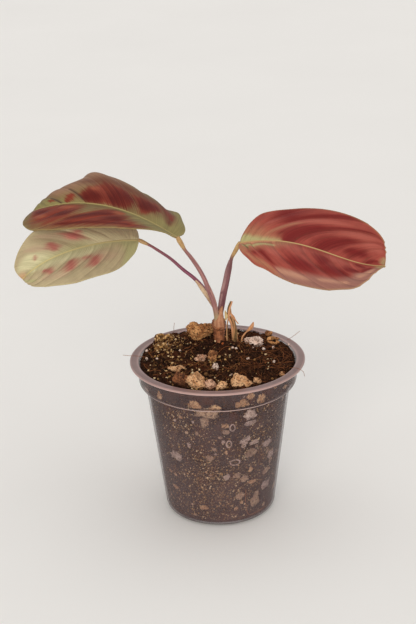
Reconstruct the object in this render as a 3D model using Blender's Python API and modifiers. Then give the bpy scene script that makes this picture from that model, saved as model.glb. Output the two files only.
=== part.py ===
"""Potted prayer plant: three patterned leaves on mauve stalks, in a clear nursery pot of soil.

Metres, +Z up. The origin is the centre of the pot's underside, on the surface it stands on.
-Y is the front and +X the right-hand side, so "near" is towards -Y and "far" towards +Y.
Driving dimensions are in millimetres and are turned into metres where points are placed.
"""
from dataclasses import dataclass
import math
import random

import bmesh
import bpy
from mathutils import Vector, noise
import numpy as np

MM = 0.001
GAP = 0.3                # clearance between neighbouring pieces
ROOM = GAP + 0.1         # how far a cutter stands out of the piece that it makes room for
WELD = 0.02              # points closer than this are one
MERGE = 0.0001           # merge distance in metres for turned shapes
TURN_STEPS = 40          # facets round the pot and the soil

# Pot
POT_HEIGHT = 83.4
RIM_RADIUS = 45.0
LIP_THICKNESS = 1.1
LIP_EDGE = 0.4           # rounding of the lip's outer edge
LIP_ROOT = 0.7           # fillet between the lip and the band
MOUTH_ROUND = 1.0        # where the lip's top turns down into the pot
WALL = 0.8
BAND_RADIUS = 41.1       # outside of the plain band under the lip
BAND_TAPER = 0.3
BAND_HEIGHT = 12.8       # from the rim's top to the step under the band
BAND_ROUND = (2.2, 3.2)  # width and height of the rounding at the band's foot
STEP_RADIUS = 37.4       # outside of the wall just below the step
STEP_ROUND = 0.4         # fillet between the step and the wall
BASE_RADIUS = 28.9
BASE_ROUND = 4.5
DRAIN_COUNT = 6
DRAIN_RADIUS = 2.5
DRAIN_CIRCLE = 18.0

# Soil
SOIL_RADIUS = 39.9       # at its top, against the band
SOIL_LEVEL = 82.0        # at the wall
SOIL_SHOULDER = 4.0      # below the rim, where the soil's side turns upright
MOUND_HEIGHT = 6.0       # round the plant's crown
MOUND_SPREAD = 13.0
BACK_HEAP = (-27.0, 22.0, 2.0, 9.0)   # x, y, height, spread of the heap at the back left
SOIL_LUMPS = ((0.6, 9.0), (1.1, 3.1))   # height and size of the unevenness, coarse and fine
SOIL_RINGS = 11

# Crown: the sheathed base that the stalks rise from
CROWN_X = 1.3
CROWN_Y = 12.8
CROWN_DEPTH_RATIO = 1.55  # the stalks leave it in one plane, so it is deeper than wide
CROWN_WAIST = 90.0
CROWN_PROFILE = ((0.0, 99.6), (1.9, 99.4), (2.8, 98.2), (3.2, 95.0), (3.1, 92.5), (3.3, 90.5),
                 (3.1, 88.0), (2.9, 85.0), (2.0, 79.0), (1.0, 74.0), (0.0, 73.5))
SCALE_LEAF_TIP = (3.3, 11.2, 107.0)   # the pointed papery sheath at the crown's front
SCALE_LEAF_FOOT = (1.3, 10.2, 93.0)
SCALE_LEAF_RADIUS = 3.1
SCALE_LEAF_POINT = 0.3

# Blades
BLADE = 0.6              # thickness
MIDRIB = 1.5             # thickness along the midrib, near its base
MIDRIB_TAPER = 0.6       # share of the midrib's extra thickness that is gone at the tip
MIDRIB_SHARE = 0.06      # of the half blade's width
MIDRIB_START = 0.04      # share of the length over which it grows out of the blade
MIDRIB_STEPS = 160
BASE_CROWDING = 0.65     # above 0 the margin's places are drawn towards the base on the midrib
TIP_PULL = 1.3           # above 1 the blade's tissue is drawn towards the tip away from the midrib
VEINS = 6                # side veins in each half
ROWS_PER_VEIN = 5
COLUMNS = (0.0, 0.07, 0.22, 0.42, 0.62, 0.82, 1.0)   # from midrib to margin
QUILT_CREST = 0.8        # below 1 the swellings are rounder than a sine
QUILT_ENDS = 0.4         # how soon they fade at the blade's ends
QUILT_TROUGH = 0.22      # share of the half width over which they rise from the midrib
QUILT_FADE = 0.7         # share of their height that is gone at the margin
MARGIN_SPREAD = 0.8      # how far one margin height reaches, in steps of the list
MARGIN_WAVES = 2.5       # along each half's margin
MARGIN_SHIFT = 1.5       # of the far half's waves against the near half's, in radians
SHOULDER_REACH = 0.12    # share of the margin that the shoulder at the base takes up
CURL_REACH = 20.0        # distance from the midrib at which a curl angle is given


@dataclass
class Leaf:
    """One blade. Angles are in degrees and follow the midrib from base to tip."""
    side: int            # +1 points right, -1 points left
    base: tuple          # where the blade meets its stalk
    length: float        # along the midrib
    half_width: float
    heading: tuple       # how far the midrib turns towards the back
    pitch: tuple         # how steeply the midrib climbs
    far_rise: tuple      # slope of the half behind the midrib
    near_rise: tuple     # slope of the half in front of it
    far_curl: float      # further slope gained 20 mm out from the midrib
    near_curl: float
    fullness: float      # low values keep the blade wide up to its ends
    far_skew: float      # above 1 the half is fuller towards the base
    near_skew: float
    shoulder: float      # below 0 the blade narrows into its stalk
    far_margin: tuple    # how far the margin stands out, at even steps from base to tip
    near_margin: tuple
    far_veins: tuple     # for each side vein, the margin's place that it starts level with and its end there
    near_veins: tuple
    far_sweep: float     # high values keep the side veins' turn towards the tip for their ends
    near_sweep: float
    far_quilt: float     # height of the swellings between the side veins
    near_quilt: float
    wave: float          # height of the margin's waves


LEAVES = {
    "leaf_right": Leaf(
        side=1, base=(12.6, 8.0, 142.4), length=86.0, half_width=22.4,
        heading=(-20, -51, -42), pitch=(16, 3, -22, 16),
        far_rise=(36, 20, 53, 59), near_rise=(-1, -7, 6, -2), far_curl=3, near_curl=-56,
        fullness=0.52, far_skew=1.2, near_skew=0.84, shoulder=-2.6,
        far_margin=(-0.5, -0.9, 0.3, 0, -0.5, 0.2, 0.1, 0, 0, -0.1, -0.3, -0.5, -0.8),
        near_margin=(-0.1, -0.6, 0.2, -0.6, -0.1, 0.3, 0, -0.1, -0.2, -0.5, 0.2, -0.2, -3.0),
        far_veins=((0.06, 0.27), (0.16, 0.44), (0.26, 0.72), (0.52, 0.90), (0.72, 0.94), (0.84, 0.97)),
        near_veins=((0.08, 0.37), (0.17, 0.49), (0.37, 0.67), (0.58, 0.84), (0.74, 0.89), (0.84, 0.94)),
        far_sweep=2.2, near_sweep=2.1, far_quilt=1.1, near_quilt=1.2, wave=0.3),
    "leaf_upper": Leaf(
        side=-1, base=(-18.4, 6.0, 146.8), length=87.5, half_width=27.0,
        heading=(45.5, 2, 30), pitch=(14, 30, -9, -23),
        far_rise=(5, 21, 69, 24), near_rise=(35, 16, 1, -6), far_curl=-40, near_curl=-24,
        fullness=0.48, far_skew=0.9, near_skew=1.0, shoulder=-4.6,
        far_margin=(-0.6, -0.7, 2.4, 0.8, -1.1, -2.3, 0.1, 2.3, 2.4, 4.6, 2.1, -0.6, -1.9),
        near_margin=(-0.2, -0.8, -0.5, -0.3, -0.1, 0, 0, 0.3, 0.2, 0, 0.5, -0.5, 0),
        far_veins=((0.23, 0.36), (0.44, 0.55), (0.61, 0.68), (0.75, 0.85), (0.85, 0.93), (0.94, 0.97)),
        near_veins=((0.27, 0.30), (0.38, 0.46), (0.47, 0.68), (0.58, 0.77), (0.75, 0.92), (0.86, 0.96)),
        far_sweep=0.8, near_sweep=3.0, far_quilt=1.0, near_quilt=0.6, wave=0.1),
    "leaf_lower": Leaf(
        side=-1, base=(-38.5, 20.0, 141.3), length=64.6, half_width=20.6,
        heading=(2, -15, -12), pitch=(4, -12, -8, -45),
        far_rise=(15, 18, 44, 89), near_rise=(-46, -31, -32, -29), far_curl=-11, near_curl=2,
        fullness=0.86, far_skew=1.3, near_skew=1.0, shoulder=-0.5,
        far_margin=(-0.1, 0, 0, -0.2, 0.1, 0.3, 0, -0.3, 0.1, 0, -0.6, -0.5, 0.5),
        near_margin=(0.6, -0.4, 0.1, 0.4, 0.2, -0.1, 0, 0.3, 0, -0.4, -0.4, -0.1, -0.4),
        far_veins=((0.18, 0.38), (0.35, 0.62), (0.49, 0.69), (0.64, 0.75), (0.78, 0.82), (0.90, 0.91)),
        near_veins=((0.19, 0.37), (0.37, 0.57), (0.52, 0.78), (0.68, 0.90), (0.80, 0.94), (0.91, 0.97)),
        far_sweep=1.1, near_sweep=2.0, far_quilt=0.7, near_quilt=0.8, wave=0.2),
}


@dataclass
class Stalk:
    """A leaf stalk, from its socket in the crown up to its leaf, with the sheath along its foot."""
    leaf: str
    route: tuple         # x, y, z, radius from the crown to the start of the swollen joint
    joint_radius: float  # of the swollen joint under the blade
    sheath: tuple        # x, y, z, radius of the sheath folded along the stalk


STALKS = {
    "stalk_right": Stalk(
        leaf="leaf_right",
        route=((1.9, 14.0, 95.5, 1.35), (2.0, 13.8, 100.8, 1.4), (3.1, 12.9, 106.8, 1.4),
               (4.5, 12.1, 114.1, 1.35), (6.0, 11.2, 121.3, 1.3), (7.5, 10.3, 128.5, 1.1),
               (8.7, 9.4, 134.6, 0.9)),
        joint_radius=1.0,
        sheath=((1.3, 13.4, 101.0, 0.9), (2.1, 12.5, 107.0, 1.05), (3.3, 11.7, 114.0, 1.1),
                (4.8, 10.8, 121.0, 1.05), (6.2, 9.9, 128.0, 0.95), (7.6, 9.3, 133.0, 0.6))),
    "stalk_upper": Stalk(
        leaf="leaf_upper",
        route=((0.5, 9.7, 96.5, 1.3), (0.1, 9.7, 103.5, 1.4), (-1.9, 9.0, 112.7, 1.35),
               (-3.6, 8.6, 117.6, 1.3), (-5.9, 8.1, 124.3, 1.15), (-9.0, 7.7, 130.6, 1.1),
               (-12.2, 7.2, 135.9, 1.0), (-15.2, 6.7, 140.3, 0.9)),
        joint_radius=1.1,
        sheath=((0.7, 9.3, 104.0, 0.8), (-1.3, 8.6, 112.9, 0.95), (-3.0, 8.2, 117.8, 0.9),
                (-5.5, 7.7, 124.0, 0.6))),
    "stalk_lower": Stalk(
        leaf="leaf_lower",
        route=((0.2, 16.7, 96.5, 1.2), (-0.5, 16.5, 104.0, 1.2), (-3.5, 16.4, 110.6, 1.2),
               (-7.2, 16.8, 116.5, 1.15), (-10.3, 17.4, 120.1, 1.0), (-16.5, 17.9, 125.5, 0.9),
               (-22.7, 18.4, 131.4, 0.8), (-29.0, 19.0, 135.9, 0.75), (-33.8, 19.4, 139.0, 0.75)),
        joint_radius=0.9,
        sheath=((-1.1, 16.0, 104.5, 0.8), (-4.2, 15.8, 110.7, 0.95), (-7.8, 16.2, 116.2, 0.9),
                (-10.6, 16.8, 119.6, 0.5))),
}

# The swollen joint: share of the way from the stalk to the blade, share of its radius
JOINT_SHAPE = ((0.4, 1.0), (0.8, 1.05), (1.0, 0.75))

# Withered remains of older leaves: x, y, z, radius
DRIED_SHEATH = (
    ((8.2, 11.2, 84.0, 1.0), (8.4, 11.0, 91.0, 1.2), (8.2, 11.0, 97.5, 1.3), (7.2, 11.0, 102.0, 1.1),
     (6.9, 11.0, 106.0, 0.7), (7.8, 10.8, 109.8, 0.5)),
    ((5.8, 9.6, 84.0, 0.45), (5.9, 9.6, 92.0, 0.45), (6.0, 10.0, 98.0, 0.5), (7.2, 10.8, 102.5, 0.6)),
    ((7.3, 10.8, 103.6, 0.7), (9.3, 10.2, 100.8, 0.6), (11.3, 9.8, 97.9, 0.45)),
    ((10.6, 12.4, 84.5, 0.6), (10.3, 12.2, 92.0, 0.65), (9.2, 11.6, 98.5, 0.6), (7.8, 11.2, 102.6, 0.6)),
)
DRIED_STALK = ((12.4, 13.0, 84.5, 0.5), (13.6, 13.0, 89.4, 0.5), (16.0, 13.0, 92.5, 0.6),
               (18.4, 13.0, 95.0, 0.8), (19.2, 13.0, 97.2, 0.4))


@dataclass
class Chip:
    """A loose piece of bark, pumice or perlite half sunk in the soil."""
    x: float
    y: float
    lift: float          # of its centre above the soil
    size: tuple          # width, depth, height
    turn: float          # degrees about the vertical
    material: str
    detail: int = 2      # subdivisions


CHIPS = {
    "chip_bark_chunk": Chip(-9.4, 17.0, 4.2, (13.0, 8.6, 11.6), 0, "tan_bark", 3),
    "chip_perlite_lump": Chip(19.3, 13.8, 1.2, (10.2, 7.0, 5.4), -8, "white_perlite"),
    "chip_ring": Chip(29.8, 18.6, 0.9, (5.8, 4.2, 3.4), 10, "tan_bark"),
    "chip_brown_back": Chip(26.0, 26.6, 1.9, (3.7, 2.8, 3.0), 0, "brown_bark"),
    "chip_left_back": Chip(-30.4, 21.2, 1.0, (5.2, 3.4, 3.6), 15, "tan_bark"),
    "chip_left_middle": Chip(-25.1, 21.2, 0.9, (4.2, 3.4, 3.2), -20, "tan_bark"),
    "chip_left_front": Chip(-29.0, 14.0, 0.9, (6.6, 4.4, 3.4), 5, "tan_bark"),
    "chip_centre_left": Chip(-8.7, -4.7, 1.0, (6.4, 4.4, 4.2), 8, "tan_bark"),
    "chip_centre": Chip(-2.4, -6.3, 1.6, (4.2, 4.6, 6.0), 0, "brown_bark"),
    "chip_perlite_small": Chip(-1.1, -13.6, 1.2, (3.6, 3.2, 4.2), 0, "white_perlite"),
    "chip_flat": Chip(-21.2, -11.6, 0.9, (9.1, 3.6, 2.6), 3, "tan_bark"),
    "chip_brown_front": Chip(-19.9, -29.4, 3.0, (7.4, 5.6, 8.6), 0, "brown_bark"),
    "chip_tan_front": Chip(-10.7, -33.0, 3.2, (9.8, 6.2, 9.8), 0, "tan_bark", 3),
    "chip_beige_front": Chip(-2.2, -34.4, 1.6, (6.0, 5.0, 5.6), 0, "tan_bark"),
    "chip_beige_corner": Chip(4.0, -36.0, 1.4, (4.4, 4.0, 5.0), 0, "tan_bark"),
    "chip_cream_front": Chip(11.9, -33.2, 3.2, (10.2, 5.6, 9.6), 0, "cream_pumice", 3),
    "chip_orange_front": Chip(20.0, -30.0, 1.2, (3.4, 3.0, 4.2), 0, "tan_bark"),
    "chip_rim_right": Chip(31.2, -21.4, 0.8, (3.4, 2.6, 2.8), -35, "cream_pumice"),
}

CHIP_LUMPS = ((0.30, 1.5), (0.14, 3.6))   # height and frequency, as shares of the radius
CHIP_BREAKS = 7                           # flat broken faces
CHIP_BREAK_REACH = (0.6, 0.85)            # their distance from the centre

# Colour, roughness and alpha of each material
MATERIALS = {
    "clear_plastic": ((0.70, 0.66, 0.72), 0.35, 0.45),
    "dark_soil": ((0.045, 0.026, 0.016), 0.95, 1.0),
    "papery_sheath": ((0.50, 0.24, 0.12), 0.75, 1.0),
    "mauve_stalk": ((0.36, 0.15, 0.16), 0.45, 1.0),
    "red_blade": ((0.52, 0.13, 0.10), 0.50, 1.0),
    "blotched_blade": ((0.50, 0.36, 0.26), 0.50, 1.0),
    "pale_blade": ((0.62, 0.62, 0.42), 0.50, 1.0),
    "dried_tissue": ((0.50, 0.30, 0.14), 0.80, 1.0),
    "tan_bark": ((0.52, 0.33, 0.17), 0.90, 1.0),
    "brown_bark": ((0.28, 0.14, 0.07), 0.90, 1.0),
    "cream_pumice": ((0.66, 0.53, 0.36), 0.90, 1.0),
    "white_perlite": ((0.74, 0.66, 0.56), 0.90, 1.0),
}
LEAF_MATERIALS = {"leaf_right": "red_blade", "leaf_upper": "blotched_blade", "leaf_lower": "pale_blade"}


def clear_scene():
    for old in list(bpy.data.objects):
        bpy.data.objects.remove(old, do_unlink=True)


def make_collection(name):
    collection = bpy.data.collections.new(name)
    bpy.context.scene.collection.children.link(collection)
    return collection


def make_material(name):
    colour, roughness, alpha = MATERIALS[name]
    material = bpy.data.materials.new(name)
    material.use_nodes = True
    shader = material.node_tree.nodes["Principled BSDF"]
    shader.inputs["Base Color"].default_value = (*colour, 1.0)
    shader.inputs["Roughness"].default_value = roughness
    shader.inputs["Metallic"].default_value = 0.0
    shader.inputs["Alpha"].default_value = alpha
    return material


def add_object(name, mesh, collection, place=(0.0, 0.0, 0.0)):
    """Link a mesh as an object. place is in millimetres."""
    obj = bpy.data.objects.new(name, mesh)
    obj.location = Vector(place) * MM
    collection.objects.link(obj)
    return obj


def add_cutter(name, mesh, cutters, place=(0.0, 0.0, 0.0)):
    cutter = add_object(name, mesh, cutters, place)
    cutter.hide_render = True
    cutter.display_type = "WIRE"
    return cutter


def bake(obj):
    """Replace an object's mesh by what its modifiers make of it."""
    bpy.context.view_layer.update()
    evaluated = obj.evaluated_get(bpy.context.evaluated_depsgraph_get())
    mesh = bpy.data.meshes.new_from_object(evaluated)
    obj.modifiers.clear()
    obj.data = mesh
    return obj


def combine(obj, other, operation):
    """Join other to obj, or cut it from obj, and remove other."""
    modifier = obj.modifiers.new(operation.lower(), "BOOLEAN")
    modifier.operation = operation
    modifier.solver = "EXACT"
    modifier.object = other
    bake(obj)
    bpy.data.objects.remove(other, do_unlink=True)
    return obj


def finish(obj, material, angle=40.0):
    """Give an object its material and its smooth shading."""
    obj.data.materials.clear()
    obj.data.materials.append(material)
    obj.data.shade_smooth()
    obj.data.set_sharp_from_angle(angle=math.radians(angle))


def turned(name, profile, collection, steps=TURN_STEPS):
    """A solid turned round the Z axis from a profile of (radius, height) in millimetres."""
    bm = bmesh.new()
    verts = [bm.verts.new((r * MM, 0.0, z * MM)) for r, z in profile]
    for first, second in zip(verts, verts[1:]):
        bm.edges.new((first, second))
    mesh = bpy.data.meshes.new(name)
    bm.to_mesh(mesh)
    bm.free()
    obj = add_object(name, mesh, collection)
    screw = obj.modifiers.new("turn", "SCREW")
    screw.steps = steps
    screw.render_steps = steps
    screw.use_merge_vertices = True
    screw.merge_threshold = MERGE
    return bake(obj)


def arc(centre, radii, start, end, steps):
    """Points on an ellipse's arc, as (radius, height)."""
    angles = np.radians(np.linspace(start, end, steps + 1))
    return [(centre[0] + radii[0] * math.cos(a), centre[1] + radii[1] * math.sin(a)) for a in angles]


def stretched(route, grow):
    """The route with both ends moved out by grow, for a cutter that leaves room all round."""
    first, second = np.array(route[0]), np.array(route[1])
    last, before = np.array(route[-1]), np.array(route[-2])
    start = first.copy()
    end = last.copy()
    start[:3] += (first - second)[:3] / np.linalg.norm((first - second)[:3]) * grow
    end[:3] += (last - before)[:3] / np.linalg.norm((last - before)[:3]) * grow
    return (tuple(start), *route[1:-1], tuple(end))


def tube(name, route, collection, grow=0.0):
    """A closed tube along x, y, z, radius points in millimetres, as a mesh."""
    if grow > 0:
        route = stretched(route, grow)
    curve = bpy.data.curves.new(name, "CURVE")
    curve.dimensions = "3D"
    curve.bevel_depth = MM
    curve.bevel_resolution = 2
    curve.resolution_u = 2
    curve.use_fill_caps = True
    spline = curve.splines.new("BEZIER")
    spline.bezier_points.add(len(route) - 1)
    for point, (x, y, z, radius) in zip(spline.bezier_points, route):
        point.co = Vector((x, y, z)) * MM
        point.radius = radius + grow
        point.handle_left_type = "AUTO"
        point.handle_right_type = "AUTO"
    guide = add_object(name + "_curve", curve, collection)
    bpy.context.view_layer.update()
    evaluated = guide.evaluated_get(bpy.context.evaluated_depsgraph_get())
    mesh = bpy.data.meshes.new_from_object(evaluated)
    bm = bmesh.new()
    bm.from_mesh(mesh)
    bmesh.ops.remove_doubles(bm, verts=bm.verts, dist=WELD * MM)
    bm.to_mesh(mesh)
    bm.free()
    obj = add_object(name, mesh, collection)
    obj.matrix_world = guide.matrix_world.copy()
    bpy.data.objects.remove(guide, do_unlink=True)
    return obj


def band_arc(outset, steps):
    """The rounding at the band's foot, moved inwards by outset."""
    width, height = BAND_ROUND
    centre = (BAND_RADIUS - BAND_TAPER - width, POT_HEIGHT - BAND_HEIGHT + STEP_ROUND + height)
    return arc(centre, (width - outset, height - outset), 0, -90, steps)


def inner_profile(inset, steps):
    """The wall from the base's centre up to the band, moved inwards by inset."""
    step_z = POT_HEIGHT - BAND_HEIGHT
    corner = (BASE_RADIUS - BASE_ROUND, BASE_ROUND)
    reach = BASE_ROUND - inset
    points = [(0.0, inset)]
    points += arc(corner, (reach, reach), -90, 0, steps)
    points.append((STEP_RADIUS - inset, step_z + STEP_ROUND + inset))
    points += list(reversed(band_arc(inset, steps)))
    return points


def build_pot(collection, cutters):
    top = POT_HEIGHT
    under = top - LIP_THICKNESS
    step_z = top - BAND_HEIGHT
    inside = inner_profile(WALL, 2)
    mouth = (BAND_RADIUS - WALL + MOUTH_ROUND, top - MOUTH_ROUND)
    inside += arc(mouth, (MOUTH_ROUND, MOUTH_ROUND), 180, 90, 3)
    edge = (LIP_EDGE, LIP_EDGE)
    lip = arc((RIM_RADIUS - LIP_EDGE, top - LIP_EDGE), edge, 90, 0, 1)
    lip += arc((RIM_RADIUS - LIP_EDGE, under + LIP_EDGE), edge, 0, -90, 1)
    lip += [(BAND_RADIUS + LIP_ROOT, under), (BAND_RADIUS, under - LIP_ROOT)]
    outside = band_arc(0.0, 3)
    outside.append((STEP_RADIUS, step_z))
    outside += arc((BASE_RADIUS - BASE_ROUND, BASE_ROUND), (BASE_ROUND, BASE_ROUND), 0, -90, 3)
    pot = turned("pot", inside + lip + outside + [(0.0, 0.0)], collection)
    for k in range(DRAIN_COUNT):
        angle = math.tau * (k + 0.5) / DRAIN_COUNT
        bm = bmesh.new()
        bmesh.ops.create_cone(bm, cap_ends=True, segments=12, radius1=DRAIN_RADIUS * MM,
                              radius2=DRAIN_RADIUS * MM, depth=4 * WALL * MM)
        mesh = bpy.data.meshes.new("drain")
        bm.to_mesh(mesh)
        bm.free()
        place = (DRAIN_CIRCLE * math.cos(angle), DRAIN_CIRCLE * math.sin(angle), WALL / 2)
        combine(pot, add_cutter("drain", mesh, cutters, place), "DIFFERENCE")
    return pot


def soil_height(x, y):
    """The soil's surface: level at the wall, mounded round the crown, and uneven."""
    mound = MOUND_HEIGHT * math.exp(-((x - CROWN_X) ** 2 + (y - CROWN_Y) ** 2) / (2 * MOUND_SPREAD ** 2))
    heap_x, heap_y, heap_height, heap_spread = BACK_HEAP
    heap = heap_height * math.exp(-((x - heap_x) ** 2 + (y - heap_y) ** 2) / (2 * heap_spread ** 2))
    lumps = sum(lump * noise.noise(Vector((x, y, 7.0 * k)) / size)
                for k, (lump, size) in enumerate(SOIL_LUMPS))
    return SOIL_LEVEL + mound + heap + lumps


def build_soil(collection):
    inset = WALL + GAP
    profile = inner_profile(inset, 2)
    profile.append((SOIL_RADIUS, POT_HEIGHT - SOIL_SHOULDER))
    profile += [(SOIL_RADIUS * (1 - k / SOIL_RINGS), SOIL_LEVEL) for k in range(SOIL_RINGS + 1)]
    soil = turned("soil", profile, collection)
    for vertex in soil.data.vertices:
        if vertex.co.z > (SOIL_LEVEL - 0.1) * MM:
            vertex.co.z = soil_height(vertex.co.x / MM, vertex.co.y / MM) * MM
    return soil


def bernstein(values, t):
    """A smooth curve through 0..1 that the values steer."""
    n = len(values) - 1
    return sum(math.comb(n, i) * t ** i * (1 - t) ** (n - i) * value for i, value in enumerate(values))


def midrib(leaf):
    """Stations along the midrib: place, direction, level sideways direction and upward normal."""
    t = np.linspace(0, 1, MIDRIB_STEPS + 1)
    heading = np.radians(bernstein(leaf.heading, t))
    pitch = np.radians(bernstein(leaf.pitch, t))
    along = np.stack([leaf.side * np.cos(heading) * np.cos(pitch), np.sin(heading) * np.cos(pitch),
                      np.sin(pitch)], axis=1)
    steps = (along[1:] + along[:-1]) / 2 * leaf.length / MIDRIB_STEPS
    place = np.concatenate([np.zeros((1, 3)), np.cumsum(steps, axis=0)]) + np.array(leaf.base)
    across = np.stack([-leaf.side * np.sin(heading), np.cos(heading), np.zeros_like(t)], axis=1)
    up = np.cross(along, across) * leaf.side
    return t, place, along, across, up


def margin(leaf, s, far):
    """Distance along and out from the midrib of the margin, for s from 0 at the base to 1."""
    skew = leaf.far_skew if far else leaf.near_skew
    heights = leaf.far_margin if far else leaf.near_margin
    start = s / SHOULDER_REACH
    p = leaf.length * np.sin(math.pi * s / 2) ** (2 * skew) - leaf.shoulder * start * np.exp(1 - start)
    q = leaf.half_width * np.sin(math.pi * s) ** leaf.fullness
    step = 1 / (len(heights) + 1)
    for k, height in enumerate(heights):
        q = q + height * np.exp(-((s - (k + 1) * step) / (MARGIN_SPREAD * step)) ** 2)
    ends = np.sin(math.pi * s) <= 1e-9
    return np.where(ends, leaf.length * np.round(s), p), np.where(ends, 0.0, q)


def margin_place(veins, sweep, u, out):
    """The margin's place that a point is level with: it follows its side vein, which sweeps tipwards."""
    knots = np.linspace(0, 1, VEINS + 2)
    start = np.interp(u, knots, (0, *(first for first, _ in veins), 1))
    end = np.interp(u, knots, (0, *(last for _, last in veins), 1))
    return start + (end - start) * out ** sweep


def blade_points(leaf, u, w):
    """Points in millimetres at u from vein to vein (0..1) and w across the blade (-1 near, 0, +1 far)."""
    t, place, along, across, up = midrib(leaf)
    far = w >= 0
    out = np.abs(w)
    s = np.where(far, margin_place(leaf.far_veins, leaf.far_sweep, u, out),
                 margin_place(leaf.near_veins, leaf.near_sweep, u, out))
    p_far, q_far = margin(leaf, s, True)
    p_near, q_near = margin(leaf, s, False)
    p_margin = np.where(far, p_far, p_near)
    q = np.where(far, q_far, q_near) * out
    p_start = leaf.length * s * (1 - BASE_CROWDING + BASE_CROWDING * s)
    p = p_start + (p_margin - p_start) * out ** TIP_PULL
    x = np.clip(p / leaf.length, 0, 1)
    over = p - x * leaf.length

    def at(values):
        return np.stack([np.interp(x, t, values[:, axis]) for axis in range(3)], axis=-1)

    rise = np.where(far, bernstein(leaf.far_rise, x), bernstein(leaf.near_rise, x))
    curl = np.where(far, leaf.far_curl, leaf.near_curl) * q / CURL_REACH
    angle = np.radians(rise + curl / 2)[..., None]
    sideways = at(across) * np.where(far, 1, -1)[..., None]
    upward = at(up)
    swelling = np.abs(np.sin(math.pi * (VEINS + 1) * u)) ** QUILT_CREST * np.sin(math.pi * u) ** QUILT_ENDS
    quilt = np.where(far, leaf.far_quilt, leaf.near_quilt)
    height = quilt * swelling * (1 - np.exp(-(out / QUILT_TROUGH) ** 2)) * (1 - QUILT_FADE * out ** 3)
    waves = np.sin(math.tau * MARGIN_WAVES * u + MARGIN_SHIFT * far) * np.sin(math.pi * u)
    height = height + leaf.wave * waves * out ** 4
    direction = np.cos(angle) * sideways + np.sin(angle) * upward
    normal = np.cos(angle) * upward - np.sin(angle) * sideways
    return at(place) + at(along) * over[..., None] + direction * q[..., None] + normal * height[..., None]


def build_leaf(name, leaf, collection):
    """The blade: a grid laid over the leaf's surface, with thickness, thicker at the midrib."""
    rows = (VEINS + 1) * ROWS_PER_VEIN
    columns = [-c for c in reversed(COLUMNS[1:])] + list(COLUMNS)
    bm = bmesh.new()
    bmesh.ops.create_grid(bm, x_segments=rows, y_segments=len(columns) - 1, size=1.0)
    grid_u = np.array([(v.co.x + 1) / 2 for v in bm.verts])
    place_w = np.linspace(-1, 1, len(columns))
    grid_w = np.interp([v.co.y for v in bm.verts], place_w, columns)
    points = blade_points(leaf, grid_u, grid_w)
    for vertex, point in zip(bm.verts, points):
        vertex.co = Vector((point - np.array(leaf.base)) * MM)
    weights = np.exp(-(grid_w / MIDRIB_SHARE) ** 2) * (1 - MIDRIB_TAPER * grid_u)
    weights = weights * (1 - np.exp(-grid_u / MIDRIB_START))
    layer = bm.verts.layers.deform.verify()
    for vertex, weight in zip(bm.verts, weights):
        vertex[layer][0] = float(weight)
    bmesh.ops.remove_doubles(bm, verts=bm.verts, dist=WELD * MM)
    bmesh.ops.triangulate(bm, faces=bm.faces)
    bm.normal_update()
    if sum(face.normal.z for face in bm.faces) < 0:
        bmesh.ops.reverse_faces(bm, faces=bm.faces)
    mesh = bpy.data.meshes.new(name)
    bm.to_mesh(mesh)
    bm.free()
    obj = add_object(name, mesh, collection, leaf.base)
    obj.vertex_groups.new(name="midrib")
    solidify = obj.modifiers.new("thickness", "SOLIDIFY")
    solidify.thickness = MIDRIB * MM
    solidify.offset = -1.0
    solidify.use_even_offset = False
    solidify.vertex_group = "midrib"
    solidify.thickness_vertex_group = BLADE / MIDRIB
    return obj


def stalk_route(stalk):
    """The stalk's own route with its swollen joint, which ends just short of the blade's base."""
    leaf = LEAVES[stalk.leaf]
    _, place, _, _, up = midrib(leaf)
    last = np.array(stalk.route[-1][:3])
    towards = (place[0] - last) / np.linalg.norm(place[0] - last)
    under_blade = BLADE * max(0.0, float(towards @ up[0]))
    seat = place[0] - towards * (ROOM + under_blade)
    joint = tuple((*(last + (seat - last) * way), stalk.joint_radius * girth) for way, girth in JOINT_SHAPE)
    return stalk.route + joint


def build_stalk(name, stalk, collection, grow=0.0):
    obj = tube(name, stalk_route(stalk), collection, grow)
    return combine(obj, tube(name + "_sheath", stalk.sheath, collection, grow), "UNION")


def build_crown(name, collection, grow=0.0):
    """The knobbly base, with its rootstock in the soil and the pointed sheath at its front."""
    ring = [(r + grow if r > 0 else 0.0, z + grow if z > CROWN_WAIST else z - grow)
            for r, z in CROWN_PROFILE]
    knob = turned(name, ring, collection, 16)
    for vertex in knob.data.vertices:
        vertex.co.y *= CROWN_DEPTH_RATIO
        vertex.co += Vector((CROWN_X, CROWN_Y, 0.0)) * MM
    foot = Vector(SCALE_LEAF_FOOT)
    axis = Vector(SCALE_LEAF_TIP) - foot
    bm = bmesh.new()
    bmesh.ops.create_cone(bm, cap_ends=True, segments=12, radius1=(SCALE_LEAF_RADIUS + grow) * MM,
                          radius2=SCALE_LEAF_POINT * MM, depth=axis.length * MM)
    mesh = bpy.data.meshes.new(name + "_scale_leaf")
    bm.to_mesh(mesh)
    bm.free()
    scale_leaf = add_object(mesh.name, mesh, collection, foot + axis / 2)
    scale_leaf.rotation_mode = "QUATERNION"
    scale_leaf.rotation_quaternion = axis.to_track_quat("Z", "Y")
    return combine(knob, scale_leaf, "UNION")


def build_dried_sheath(name, collection, grow=0.0):
    obj = tube(name, DRIED_SHEATH[0], collection, grow)
    for k, strand in enumerate(DRIED_SHEATH[1:]):
        combine(obj, tube(f"{name}_strand_{k}", strand, collection, grow), "UNION")
    return obj


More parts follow.
